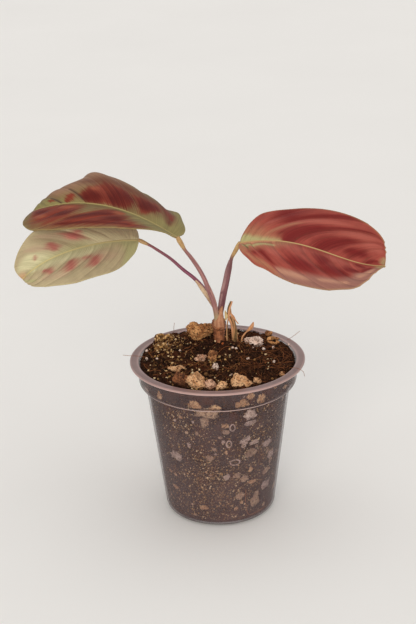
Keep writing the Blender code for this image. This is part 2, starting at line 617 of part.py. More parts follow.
def chip_mesh(name, chip, grow=0.0):
    """A broken lump: a noisy ball, flattened by a few random planes and scaled to its size."""
    rng = random.Random(name)
    shift = Vector([rng.uniform(-9, 9) for _ in range(3)])
    planes = [(Vector([rng.gauss(0, 1) for _ in range(3)]).normalized(), rng.uniform(*CHIP_BREAK_REACH))
              for _ in range(CHIP_BREAKS)]
    bm = bmesh.new()
    bmesh.ops.create_icosphere(bm, subdivisions=chip.detail, radius=1.0)
    for vertex in bm.verts:
        outward = vertex.co.normalized()
        point = outward * (1 + sum(lump * noise.noise(outward * pitch + shift) for lump, pitch in CHIP_LUMPS))
        for normal, reach in planes:
            point -= normal * max(0.0, point.dot(normal) - reach)
        vertex.co = point
    low = Vector([min(v.co[axis] for v in bm.verts) for axis in range(3)])
    high = Vector([max(v.co[axis] for v in bm.verts) for axis in range(3)])
    for vertex in bm.verts:
        for axis in range(3):
            share = (vertex.co[axis] - low[axis]) / (high[axis] - low[axis]) - 0.5
            vertex.co[axis] = share * chip.size[axis] * MM
    bm.normal_update()
    for vertex in bm.verts:
        vertex.co += vertex.normal * grow * MM
    mesh = bpy.data.meshes.new(name)
    bm.to_mesh(mesh)
    bm.free()
    return mesh


def chip_place(chip):
    return (chip.x, chip.y, soil_height(chip.x, chip.y) + chip.lift)


def build_chip(name, chip, collection):
    obj = add_object(name, chip_mesh(name, chip), collection, chip_place(chip))
    obj.rotation_euler.z = math.radians(chip.turn)
    return obj


def cut_soil(soil, cutters):
    """Open the soil for the crown, the withered stalks and each half-sunk chip."""
    combine(soil, build_crown("crown_room", cutters, ROOM), "DIFFERENCE")
    combine(soil, build_dried_sheath("sheath_room", cutters, ROOM), "DIFFERENCE")
    combine(soil, tube("stalk_room", DRIED_STALK, cutters, ROOM), "DIFFERENCE")
    for name, chip in CHIPS.items():
        cutter = add_cutter(name + "_room", chip_mesh(name, chip, ROOM), cutters, chip_place(chip))
        cutter.rotation_euler.z = math.radians(chip.turn)
        combine(soil, cutter, "DIFFERENCE")


def main():
    clear_scene()
    parts = make_collection("potted_prayer_plant")
    cutters = make_collection("cutters")
    materials = {name: make_material(name) for name in MATERIALS}
    origin = bpy.data.objects.new("plant_origin", None)
    parts.objects.link(origin)

    built = {"pot": (build_pot(parts, cutters), "clear_plastic")}
    soil = build_soil(parts)
    cut_soil(soil, cutters)
    built["soil"] = (soil, "dark_soil")

    crown = build_crown("crown", parts)
    for name, stalk in STALKS.items():
        combine(crown, build_stalk(name + "_room", stalk, cutters, ROOM), "DIFFERENCE")
        built[name] = (build_stalk(name, stalk, parts), "mauve_stalk")
    built["crown"] = (crown, "papery_sheath")
    for name, leaf in LEAVES.items():
        built[name] = (build_leaf(name, leaf, parts), LEAF_MATERIALS[name])
    built["dried_sheath"] = (build_dried_sheath("dried_sheath", parts), "dried_tissue")
    built["dried_stalk"] = (tube("dried_stalk", DRIED_STALK, parts), "dried_tissue")
    for name, chip in CHIPS.items():
        built[name] = (build_chip(name, chip, parts), chip.material)

    for obj, material in built.values():
        finish(obj, materials[material])
        obj.parent = origin


main()
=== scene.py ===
"""Looks of the potted prayer plant: fine surfaces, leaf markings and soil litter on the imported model.

Lengths are in millimetres and angles in degrees, as in the part's own source, and become metres
where points are placed. -Y is the front ("near"), +Y the back ("far") and +X the right.
"""

from dataclasses import dataclass
import math
import random

import bmesh
import bpy
from mathutils import Matrix, Vector, noise
import numpy as np


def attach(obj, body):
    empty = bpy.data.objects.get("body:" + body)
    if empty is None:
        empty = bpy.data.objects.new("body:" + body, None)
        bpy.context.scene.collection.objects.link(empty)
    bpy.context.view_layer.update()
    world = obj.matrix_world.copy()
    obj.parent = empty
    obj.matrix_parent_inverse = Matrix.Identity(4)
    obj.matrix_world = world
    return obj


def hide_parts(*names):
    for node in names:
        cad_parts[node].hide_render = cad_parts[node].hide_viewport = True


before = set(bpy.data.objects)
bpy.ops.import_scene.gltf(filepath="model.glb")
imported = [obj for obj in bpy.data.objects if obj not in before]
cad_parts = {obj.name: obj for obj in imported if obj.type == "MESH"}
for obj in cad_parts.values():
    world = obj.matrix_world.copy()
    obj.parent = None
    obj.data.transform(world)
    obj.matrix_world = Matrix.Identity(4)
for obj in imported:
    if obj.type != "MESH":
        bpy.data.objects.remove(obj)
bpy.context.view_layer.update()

MM = 0.001

# Camera
AIM = (-4.2, 0.0, 108.7)
CAMERA_DISTANCE = 762.0
CAMERA_ELEVATION = 21.7
CAMERA_ROLL = -1.5
SENSOR = 36.0            # the picture's height on the sensor
FOCAL_LENGTH = 86.54

# Studio: each light's name, direction, strength, width as seen in degrees, and colour
LIGHTS = (("key_light", (-120, -900, 330), 1.6, 40, (1.0, 0.95, 0.88)),
          ("fill_light", (420, -900, 140), 0.45, 60, (0.98, 0.98, 1.0)),
          ("top_light", (50, 300, 900), 0.4, 60, (1.0, 1.0, 1.0)))
WORLD_COLOUR = (0.95, 0.93, 0.92, 1.0)
WORLD_STRENGTH = 0.66
FLOOR_REACH = 25000

# Pot and soil, as in the part's source
POT_HEIGHT = 83.4
RIM_RADIUS = 45.0
LIP_THICKNESS = 1.1
LIP_EDGE = 0.4
LIP_ROOT = 0.7
MOUTH_ROUND = 1.0
WALL = 0.8
BAND_RADIUS = 41.1
BAND_TAPER = 0.3
BAND_HEIGHT = 12.8
BAND_ROUND = (2.2, 3.2)
STEP_RADIUS = 37.4
STEP_ROUND = 0.4
BASE_RADIUS = 28.9
BASE_ROUND = 4.5
DRAIN_COUNT = 6
DRAIN_RADIUS = 2.5
DRAIN_CIRCLE = 18.0
SOIL_RADIUS = 39.9
SOIL_LEVEL = 82.0
SOIL_INSET = 1.15        # of the soil's side from the pot's outside
SOIL_STEPS = 260
CROWN_X, CROWN_Y = 1.3, 12.8
CROWN_MOUND = (CROWN_X, CROWN_Y, 6.0, 13.0)      # x, y, height, spread
BACK_HEAP = (-27.0, 22.0, 2.0, 9.0)
SOIL_LUMPS = ((0.6, 9.0), (1.1, 3.1))
TURN_STEPS = 160
PAINTED_FOOT_HIGHLIGHT = (0.5, 0.9, 1.0, 1.0, 1.0, 0.6, 0.1, 0.0, 0.0, 0.0, 0.0)    # painted highlight line round the band's foot

# Blades, as in the part's source
BASE_CROWDING = 0.65
TIP_PULL = 1.3
VEINS = 6
QUILT_CREST = 0.8
QUILT_ENDS = 0.4
QUILT_TROUGH = 0.22
QUILT_FADE = 0.7
MARGIN_SPREAD = 0.8
MARGIN_WAVES = 2.5
MARGIN_SHIFT = 1.5
SHOULDER_REACH = 0.12
CURL_REACH = 20.0
MIDRIB_STEPS = 160
BLADE = 0.45
MIDRIB = 1.5
MIDRIB_TAPER = 0.6
MIDRIB_SHARE = 0.05
MIDRIB_START = 0.04
FINE_ROWS_PER_VEIN = 26
FINE_COLUMNS = 44        # in each half
COLUMN_CROWDING = 1.15   # towards the midrib
RIB_WIDTH, RIB_TAPER = 0.75, 0.45
RIB_EDGE = (-0.1, 0.3)
RIM_SHARE = 0.4          # of the midrib's colour along the margin


def srgb(red, green, blue):
    """A colour given as it looks on a screen, 0 to 255, as the renderer's own numbers."""
    parts = (part / 255 for part in (red, green, blue))
    return tuple(((c + 0.055) / 1.055) ** 2.4 if c > 10 / 255 else c / 12.92 for c in parts)


@dataclass
class Half:
    """The far or the near half of a blade, with the fields of the part's source."""
    rise: tuple
    curl: float
    skew: float
    sweep: float
    quilt: float
    margin: tuple
    veins: tuple


@dataclass
class Leaf:
    """One blade, likewise."""
    slot: str
    side: int
    base: tuple
    length: float
    half_width: float
    heading: tuple
    pitch: tuple
    fullness: float
    shoulder: float
    wave: float
    far: Half
    near: Half


LEAVES = {
    "leaf_right": Leaf(
        "red_blade",
        1, (12.6, 8.0, 142.4), 86.0, 22.4, (-20, -51, -42), (16, 3, -22, 16), 0.52, -2.6, 0.3,
        Half((36, 20, 53, 59), 3, 1.2, 2.2, 1.1,
             (-0.5, -0.9, 0.3, 0, -0.5, 0.2, 0.1, 0, 0, -0.1, -0.3, -0.5, -0.8),
             ((0.06, 0.27), (0.16, 0.44), (0.26, 0.72), (0.52, 0.90), (0.72, 0.94), (0.84, 0.97))),
        Half((-1, -7, 6, -2), -56, 0.84, 2.1, 1.2,
             (-0.1, -0.6, 0.2, -0.6, -0.1, 0.3, 0, -0.1, -0.2, -0.5, 0.2, -0.2, -3.0),
             ((0.08, 0.37), (0.17, 0.49), (0.37, 0.67), (0.58, 0.84), (0.74, 0.89), (0.84, 0.94)))),
    "leaf_upper": Leaf(
        "blotched_blade",
        -1, (-18.4, 6.0, 146.8), 87.5, 27.0, (45.5, 2, 30), (14, 30, -9, -23), 0.48, -4.6, 0.1,
        Half((5, 21, 69, 24), -40, 0.9, 0.8, 1.0,
             (-0.6, -0.7, 2.4, 0.8, -1.1, -2.3, 0.1, 2.3, 2.4, 4.6, 2.1, -0.6, -1.9),
             ((0.23, 0.36), (0.44, 0.55), (0.61, 0.68), (0.75, 0.85), (0.85, 0.93), (0.94, 0.97))),
        Half((35, 16, 1, -6), -24, 1.0, 3.0, 0.6,
             (-0.2, -0.8, -0.5, -0.3, -0.1, 0, 0, 0.3, 0.2, 0, 0.5, -0.5, 0),
             ((0.27, 0.30), (0.38, 0.46), (0.47, 0.68), (0.58, 0.77), (0.75, 0.92), (0.86, 0.96)))),
    "leaf_lower": Leaf(
        "pale_blade",
        -1, (-38.5, 20.0, 141.3), 64.6, 20.6, (2, -15, -12), (4, -12, -8, -45), 0.86, -0.5, 0.2,
        Half((15, 18, 44, 89), -11, 1.3, 1.1, 0.7,
             (-0.1, 0, 0, -0.2, 0.1, 0.3, 0, -0.3, 0.1, 0, -0.6, -0.5, 0.5),
             ((0.18, 0.38), (0.35, 0.62), (0.49, 0.69), (0.64, 0.75), (0.78, 0.82), (0.90, 0.91))),
        Half((-46, -31, -32, -29), 2, 1.0, 2.0, 0.8,
             (0.6, -0.4, 0.1, 0.4, 0.2, -0.1, 0, 0.3, 0, -0.4, -0.4, -0.1, -0.4),
             ((0.19, 0.37), (0.37, 0.57), (0.52, 0.78), (0.68, 0.90), (0.80, 0.94), (0.91, 0.97)))),
}
# Small rises and dips of a blade's far edge: vein, how wide, millimetres up
EDGE_LIFTS = {"leaf_upper": ((3.5, 0.42, -3.4), (2.5, 0.4, 1.4), (1.22, 0.1, -0.6), (0.82, 0.08, -1.4),
                             (0.58, 0.12, 2.0))}


@dataclass
class Coat:
    """One colour laid over a blade where any of its strokes or patches is. Places count from vein to vein,
    0 at the base to VEINS + 1 at the tip, and out from the midrib, 0, to the margin, 1, negative on the near
    half. A stroke is (vein, out, end vein, end out, half width, strength if not 1). A patch is (half, line,
    line, softness) and lies between the lines, given as (vein, distance out) pairs."""
    name: str
    colour: tuple
    feather: float            # half width of its edge, as a share of the half width or softness
    streaks: float            # how far fine streaks along the side veins break up the edge
    strokes: tuple = ()
    patches: tuple = ()


FAR, NEAR = True, False
NOWHERE = ((-1, -1), (8, -1))    # a line inside the midrib
BEYOND = ((-1, 2), (8, 2))       # a line outside the margin
STROKE_END = 0.6                 # width of a stroke's ends, as a share of its middle's
VEIN_SPAN = 0.5                  # how far it is from vein to vein, as a share of the half width

RIGHT_COATS = (
    Coat("light", srgb(164, 84, 72), 0.9, 0.4, ((4.25, 0.7, 4.7, 0.75, 0.2), (5.4, 0.7, 6.2, 0.75, 0.22),
        (3.25, 0.6, 3.5, 0.72, 0.14), (2.2, 0.6, 2.5, 0.75, 0.12), (3.3, -0.15, 3.9, -0.2, 0.14),
        (5.0, -0.18, 5.9, -0.24, 0.14), (2.5, -0.5, 2.9, -0.42, 0.1))),
    # Dark red: partly the blade's own pigment, partly painted shade on the quilted bands before the side
    # veins
    Coat("dark", srgb(113, 32, 30), 0.9, 0.5, ((3.8, 0.08, 3.8, 0.5, 0.2), (4.75, 0.08, 4.85, 0.45, 0.22),
        (5.6, 0.28, 6.1, 0.32, 0.19), (2.9, 0.6, 2.75, 0.95, 0.13, 0.8), (1.5, 0.97, 2.95, 0.62, 0.14, 0.75),
        (3.45, 0.2, 3.5, 0.25, 0.1, 0.7), (6.5, 0.1, 6.7, 0.3, 0.1, 0.7), (3.9, 0.5, 3.8, 0.9, 0.07, 0.6),
        (2.15, -0.4, 2.1, -0.72, 0.1, 0.8), (3.1, -0.64, 3.65, -0.6, 0.17), (4.1, -0.62, 5.0, -0.6, 0.18),
        (4.7, -0.34, 4.3, -0.5, 0.14), (5.4, -0.55, 5.9, -0.56, 0.12), (6.1, -0.66, 6.4, -0.62, 0.1),
        (6.2, -0.2, 6.3, -0.5, 0.06, 0.8), (1.2, -0.62, 1.5, -0.6, 0.1, 0.6))),
    Coat("mauve", srgb(144, 99, 87), 0.8, 0.5, patches=(
        (NEAR, ((-1, 1.3), (0.8, 1.1), (1.3, 0.93), (2, 0.83), (3, 0.78), (4, 0.78), (5, 0.74), (5.6, 0.69),
         (6.3, 0.72), (6.8, 0.6), (8, 0.4)), BEYOND, 0.08),)),
    Coat("salmon", srgb(162, 106, 80), 0.9, 0.5, ((0.5, -0.8, 1.5, -0.9, 0.13, 0.8),
        (3.0, 0.12, 3.3, 0.5, 0.1, 0.7)), (
        (FAR, NOWHERE, ((-1, 1.3), (0, 1.1), (0.6, 0.8), (1.0, 0.68), (2, 0.48), (2.6, 0.38), (3.2, 0.25),
         (3.6, 0.05), (3.8, -0.3), (8, -1)), 0.2),
        (NEAR, NOWHERE, ((-1, 1.3), (0.3, 0.9), (0.8, 0.6), (1.5, 0.5), (2.2, 0.42), (3, 0.32), (3.6, 0.15),
         (4.2, -0.3), (8, -1)), 0.14))),
    Coat("pale", srgb(176, 128, 106), 0.9, 0.5, ((2.0, -0.85, 2.9, -0.85, 0.06, 0.8),
        (3.3, -0.85, 4.3, -0.85, 0.05, 0.6), (5.3, -0.82, 6.4, -0.8, 0.09, 0.8))),
    Coat("cream", srgb(168, 160, 112), 1.0, 0.5, ((0.6, -0.42, 1.4, -0.36, 0.08, 0.8),
        (1.4, -0.36, 3.0, -0.22, 0.06, 0.7)), (
        (FAR, NOWHERE, ((-1, 1.0), (0, 0.72), (0.5, 0.56), (1.0, 0.43), (1.5, 0.32), (2, 0.22), (2.6, 0.15),
         (3.1, 0.1), (3.6, 0.03), (3.9, -0.2), (8, -1)), 0.1),)),
    Coat("core", srgb(196, 138, 105), 0.8, 0.2, patches=(
        (NEAR, NOWHERE, ((-1, 0.3), (0.3, 0.3), (1, 0.25), (2, 0.18), (3, 0.08), (3.5, -0.1), (8, -1)),
         0.05),)),
    # Painted shade of a fold near the near half's base
    Coat("shade", srgb(98, 81, 55), 1.0, 0.4, ((0.65, -0.34, 1.1, -0.48, 0.1, 0.4),)),
    Coat("tip", srgb(166, 148, 106), 1.0, 0.4, ((6.95, 0.2, 6.85, 0.95, 0.1, 0.5),
        (6.95, -0.2, 6.9, -0.9, 0.1))),
)
UPPER_COATS = (
    Coat("green", srgb(132, 121, 76), 0.9, 0.5, patches=(
        (FAR, NOWHERE, ((-1, 1.5), (0.6, 1.2), (1.0, 0.3), (1.6, 0.08), (3, 0.02), (4.2, 0.03), (5.2, 0.3),
         (6, 0.8), (7, 1.2), (8, 1.2)), 0.15),
        (NEAR, NOWHERE, ((-1, 1.3), (0.5, 0.9), (1, 0.5), (2, 0.35), (3, 0.2), (3.8, 0.08), (4.5, 0.06),
         (8, 0.05)), 0.12))),
    Coat("blush", srgb(146, 110, 84), 1.0, 0.5, patches=(
        (FAR, ((1.6, 0.7), (2.2, 0.6), (3, 0.52), (3.6, 0.4), (4.1, 0.3), (4.9, 0.32)), BEYOND, 0.2),)),
    Coat("haze", srgb(109, 65, 46), 1.0, 0.5, ((0.85, 0.25, 0.9, 0.8, 0.12, 0.9),), (
        (FAR, ((0.9, 0.45), (1.2, 0.5), (2, 0.45), (3, 0.45), (3.5, 0.5)), ((0.9, 0.9), (1.2, 0.86),
         (2, 0.78), (3, 0.7), (3.5, 0.58)), 0.16),)),
    Coat("red", srgb(122, 50, 34), 0.7, 1.4, ((0.82, 0.4, 0.86, 0.7, 0.07, 0.7),
        (4.22, 0.24, 4.8, 0.07, 0.07), (5.35, 0.22, 5.45, 0.27, 0.11, 0.8)), (
        (FAR, ((2.03, 0.3), (2.3, 0.13), (2.6, 0.05), (3, 0.03), (3.3, 0.03), (3.7, 0.01), (3.97, 0.01)),
         ((2.03, 0.52), (2.5, 0.52), (3, 0.5), (3.2, 0.42), (3.6, 0.33), (3.97, 0.22)), 0.09),
        (FAR, ((1.12, 0.45), (1.4, 0.3), (1.7, 0.15), (1.97, 0.08)), ((1.12, 0.66), (1.4, 0.58),
         (1.97, 0.5)), 0.09),
        (NEAR, ((0.7, 0.7), (1.5, 0.6), (2, 0.5), (2.5, 0.4), (3, 0.3), (3.5, 0.22), (3.9, 0.17),
         (4.1, 0.16)), ((0.7, 0.95), (2, 0.96), (3, 0.95), (4.1, 0.93)), 0.18),
        (NEAR, ((4.05, 0.6), (4.4, 0.5), (4.7, 0.3), (4.95, 0.12), (6.9, 0.06)), ((4.05, 0.92), (5, 0.86),
         (6, 0.78), (6.6, 0.62), (6.9, 0.5)), 0.2))),
    Coat("dark", srgb(88, 23, 15), 0.9, 1.0, ((2.15, 0.36, 2.9, 0.16, 0.2), (3.4, 0.18, 3.85, 0.12, 0.14),
        (1.3, 0.5, 1.8, 0.28, 0.13), (2.1, -0.66, 2.5, -0.62, 0.17), (3.2, -0.5, 3.9, -0.68, 0.15),
        (4.55, -0.6, 4.85, -0.55, 0.12), (5.9, -0.5, 6.4, -0.46, 0.13), (1.2, -0.8, 3.6, -0.88, 0.06, 0.7))),
    Coat("bright", srgb(144, 76, 52), 0.9, 0.6, ((3.15, 0.38, 3.4, 0.32, 0.06, 0.6),
        (3.0, -0.33, 3.4, -0.28, 0.08), (4.9, -0.3, 5.6, -0.28, 0.08), (5.2, -0.68, 5.9, -0.66, 0.07))),
    # Painted shade in two creases on the far half
    Coat("painted_crease_shade", srgb(78, 58, 43), 0.9, 0.3, ((5.1, 0.05, 5.15, 0.38, 0.05),
        (4.02, 0.08, 3.98, 0.45, 0.04, 0.5))),
)
LOWER_COATS = (
    Coat("light", srgb(188, 181, 142), 1.0, 0.4, patches=(
        (FAR, ((5.05, -1), (6.4, -1)), ((5.05, 0.7), (5.6, 0.8), (6.4, 0.9)), 0.15),
        (NEAR, NOWHERE, ((-1, -1), (2, 0), (3, 0.28), (4.5, 0.35), (6, 0.3), (8, 0)), 0.15))),
    # Greenish tone near the base; its first stroke is painted shade of the fold along the near margin
    Coat("green", srgb(162, 157, 113), 0.9, 0.5, ((4.8, -0.8, 6.6, -0.86, 0.09, 0.9),
        (6.1, -0.3, 6.2, -0.5, 0.08, 0.5)), (
        (FAR, NOWHERE, ((-1, 1.3), (0.8, 1.3), (1.1, 0.5), (1.6, 0.2), (8, 0.04)), 0.25),
        (NEAR, NOWHERE, ((-1, 1.3), (0.5, 1.3), (1.0, 0.4), (1.6, 0.1), (8, 0.02)), 0.25))),
    Coat("blush", srgb(170, 148, 119), 1.0, 0.5, ((2.1, 0.35, 2.4, 0.5, 0.15), (3.75, 0.55, 3.85, 0.8, 0.13),
        (4.85, 0.5, 4.9, 0.8, 0.12), (1.6, -0.5, 3.0, -0.36, 0.14), (2.9, -0.75, 4.2, -0.72, 0.08))),
    # Painted light over the far half's base, where the upper blade's shadow falls
    Coat("lit", srgb(216, 206, 163), 1.0, 0.3, patches=(
        (FAR, ((-1, -1), (3.3, -1)), ((-1, 1.4), (3.3, 1.2)), 0.3),)),
    # A red spot of the blade, lightened with painted light against the upper blade's shadow
    Coat("red_spot_and_painted_light", srgb(203, 124, 112), 1.0, 0.6, ((3.1, 0.48, 3.5, 0.38, 0.18),
        (2.6, 0.56, 3.1, 0.5, 0.09, 0.6))),
    Coat("red", srgb(157, 95, 83), 1.0, 0.6, ((4.42, 0.46, 4.7, 0.26, 0.12),
        (5.35, 0.5, 5.65, 0.36, 0.09, 0.35), (2.15, -0.6, 2.55, -0.42, 0.11), (3.15, -0.6, 3.7, -0.38, 0.11),
        (4.1, -0.6, 5.1, -0.44, 0.085, 0.8), (2.8, -0.36, 3.2, -0.34, 0.1, 0.3))),
    Coat("tip", srgb(181, 147, 111), 0.9, 0.4, ((6.85, 0.2, 6.85, 0.95, 0.14),
        (6.9, -0.1, 6.95, -0.9, 0.12))),
)
# Each blade's colours, and how far the painted shade before and the painted light after its side veins darken
# and lighten it
PAINT = {
    "leaf_right": dict(ground=srgb(154, 71, 60), underside=srgb(150, 92, 92), rib=srgb(182, 152, 104),
                       veins=(0.87, 1.1), coats=RIGHT_COATS),
    "leaf_upper": dict(ground=srgb(126, 106, 69), underside=srgb(140, 84, 84), rib=srgb(160, 144, 94),
                       veins=(0.87, 1.1), coats=UPPER_COATS),
    "leaf_lower": dict(ground=srgb(173, 157, 123), underside=srgb(150, 104, 96), rib=srgb(188, 174, 122),
                       veins=(0.94, 1.05), coats=LOWER_COATS),
}

# Stalks, as in the part's source: x, y, z, radius
STALKS = {
    "stalk_right": dict(
        leaf="leaf_right", joint=1.0,
        route=((1.9, 14.0, 95.5, 1.35), (2.0, 13.8, 100.8, 1.4), (3.1, 12.9, 106.8, 1.4),
               (4.5, 12.1, 114.1, 1.35), (6.0, 11.2, 121.3, 1.3), (7.5, 10.3, 128.5, 1.1),
               (8.7, 9.4, 134.6, 0.9)),
        sheath=((1.3, 13.4, 101.0, 0.9), (2.1, 12.5, 107.0, 1.05), (3.3, 11.7, 114.0, 1.1),
                (4.8, 10.8, 121.0, 1.05), (6.2, 9.9, 128.0, 0.95), (7.6, 9.3, 133.0, 0.6))),
    "stalk_upper": dict(
        leaf="leaf_upper", joint=1.1,
        route=((0.5, 9.7, 96.5, 1.3), (0.1, 9.7, 103.5, 1.4), (-1.9, 9.0, 112.7, 1.35),
               (-3.6, 8.6, 117.6, 1.3), (-5.9, 8.1, 124.3, 1.15), (-9.0, 7.7, 130.6, 1.1),
               (-12.2, 7.2, 135.9, 1.0), (-15.2, 6.7, 140.3, 0.9)),
        sheath=((0.7, 9.3, 104.0, 0.8), (-1.3, 8.6, 112.9, 0.95), (-3.0, 8.2, 117.8, 0.9),
                (-5.5, 7.7, 124.0, 0.6))),
    "stalk_lower": dict(
        leaf="leaf_lower", joint=0.9,
        route=((0.2, 16.7, 96.5, 1.2), (-0.5, 16.5, 104.0, 1.2), (-3.5, 16.4, 110.6, 1.2),
               (-7.2, 16.8, 116.5, 1.15), (-10.3, 17.4, 120.1, 1.0), (-16.5, 17.9, 125.5, 0.9),
               (-22.7, 18.4, 131.4, 0.8), (-29.0, 19.0, 135.9, 0.75), (-33.8, 19.4, 139.0, 0.75)),
        sheath=((-1.3, 15.6, 105.5, 0.8), (-4.4, 15.1, 111.6, 1.1), (-7.6, 15.5, 116.6, 1.05),
                (-10.2, 16.4, 119.9, 0.4))),
}

# Each stalk's sheath, lighter and darker, its skin, lighter and darker, its foot, and its end under the leaf
STALK_COLOURS = {
    "stalk_right": (srgb(166, 130, 126), srgb(118, 80, 82), srgb(130, 84, 86), srgb(98, 58, 64),
                    srgb(108, 66, 62), srgb(112, 72, 66)),
    "stalk_upper": (srgb(176, 132, 120), srgb(134, 92, 84), srgb(164, 116, 110), srgb(124, 80, 80),
                    srgb(164, 142, 106), srgb(134, 88, 82)),
    "stalk_lower": (srgb(212, 186, 152), srgb(172, 136, 108), srgb(136, 74, 92), srgb(100, 48, 68),
                    srgb(120, 82, 66), srgb(132, 74, 68)),
}

# The swollen joint under each blade: share of the way from the stalk to the blade, share of its radius
JOINT_SHAPE = ((0.4, 1.1), (0.8, 1.15), (1.0, 0.9))
JOINT_SEAT = 0.5         # how far it reaches into the blade

CROWN_DEPTH_RATIO = 1.55
CROWN_PROFILE = ((1.0, 74.0), (2.0, 79.0), (2.9, 85.0), (3.0, 88.0), (2.8, 90.5), (2.8, 92.5), (3.1, 94.6),
                 (3.6, 96.8), (3.2, 98.6), (2.1, 99.8))
BUD_PLACE = (3.2, 7.4, 87.6)
BUD_SIZE = (1.1, 0.9, 1.0)
SCALE_LEAF = ((1.3, 12.6, 91.0, 1.2), (1.35, 11.4, 94.6, 2.5), (1.45, 9.9, 98.0, 2.85),
              (1.65, 10.2, 100.8, 2.35), (2.15, 10.7, 104.0, 1.45), (3.3, 11.2, 107.2, 0.3))

# A cream flake at the crown's right side: x, y, z, radius
CROWN_FLAKE = ((4.3, 10.2, 99.6, 0.25), (5.1, 9.9, 101.2, 0.7), (5.1, 10.0, 103.0, 0.75),
               (4.6, 10.3, 105.2, 0.2))

STRANDS = 3
STRAND_REACH = 0.62      # from the strip's middle, as a share of its radius
WITHERED_TINTS = ((0.0, srgb(104, 68, 44)), (0.3, srgb(146, 126, 80)), (0.5, srgb(184, 132, 90)),
                  (1.0, srgb(216, 156, 112)))
# Withered remains of older leaves: x, y, z, radius
DRIED_SHEATH = (
    ((8.2, 11.2, 84.0, 1.0), (8.8, 11.0, 91.0, 1.2), (8.6, 11.0, 97.0, 1.3), (7.0, 11.0, 102.0, 1.3),
     (7.0, 11.0, 106.0, 1.1), (8.0, 10.8, 110.0, 0.8)),
    ((5.6, 9.6, 84.0, 0.4), (5.4, 9.6, 92.0, 0.4), (5.7, 10.0, 98.0, 0.45), (7.0, 10.8, 102.5, 0.6)),
    ((7.3, 10.8, 103.6, 0.7), (9.3, 10.2, 100.8, 0.6), (11.3, 9.8, 97.9, 0.45)),
    ((10.6, 12.4, 84.5, 0.6), (10.3, 12.2, 92.0, 0.65), (9.2, 11.6, 98.5, 0.6), (7.8, 11.2, 102.6, 0.6)),
)
DRIED_STALK = ((12.4, 13.0, 84.5, 0.4), (13.6, 13.0, 89.4, 0.42), (16.0, 13.0, 92.3, 0.5),
               (17.4, 13.0, 93.6, 1.0), (18.5, 13.0, 95.2, 0.95), (19.2, 13.0, 97.2, 0.3))


@dataclass
class Chip:
    """A loose piece of bark, pumice or perlite half sunk in the soil."""
    x: float
    y: float
    lift: float          # of its centre above the soil
    size: tuple          # width, depth, height
    turn: float          # degrees about the vertical
    slot: str
    front: tuple = ()    # outline seen from the front: reach at equal steps from the right over the top
    form: str = "lump"   # a broken lump, a porous clump of grains, or a curl
    looks: str = ""      # the stone it looks like, if not its slot's


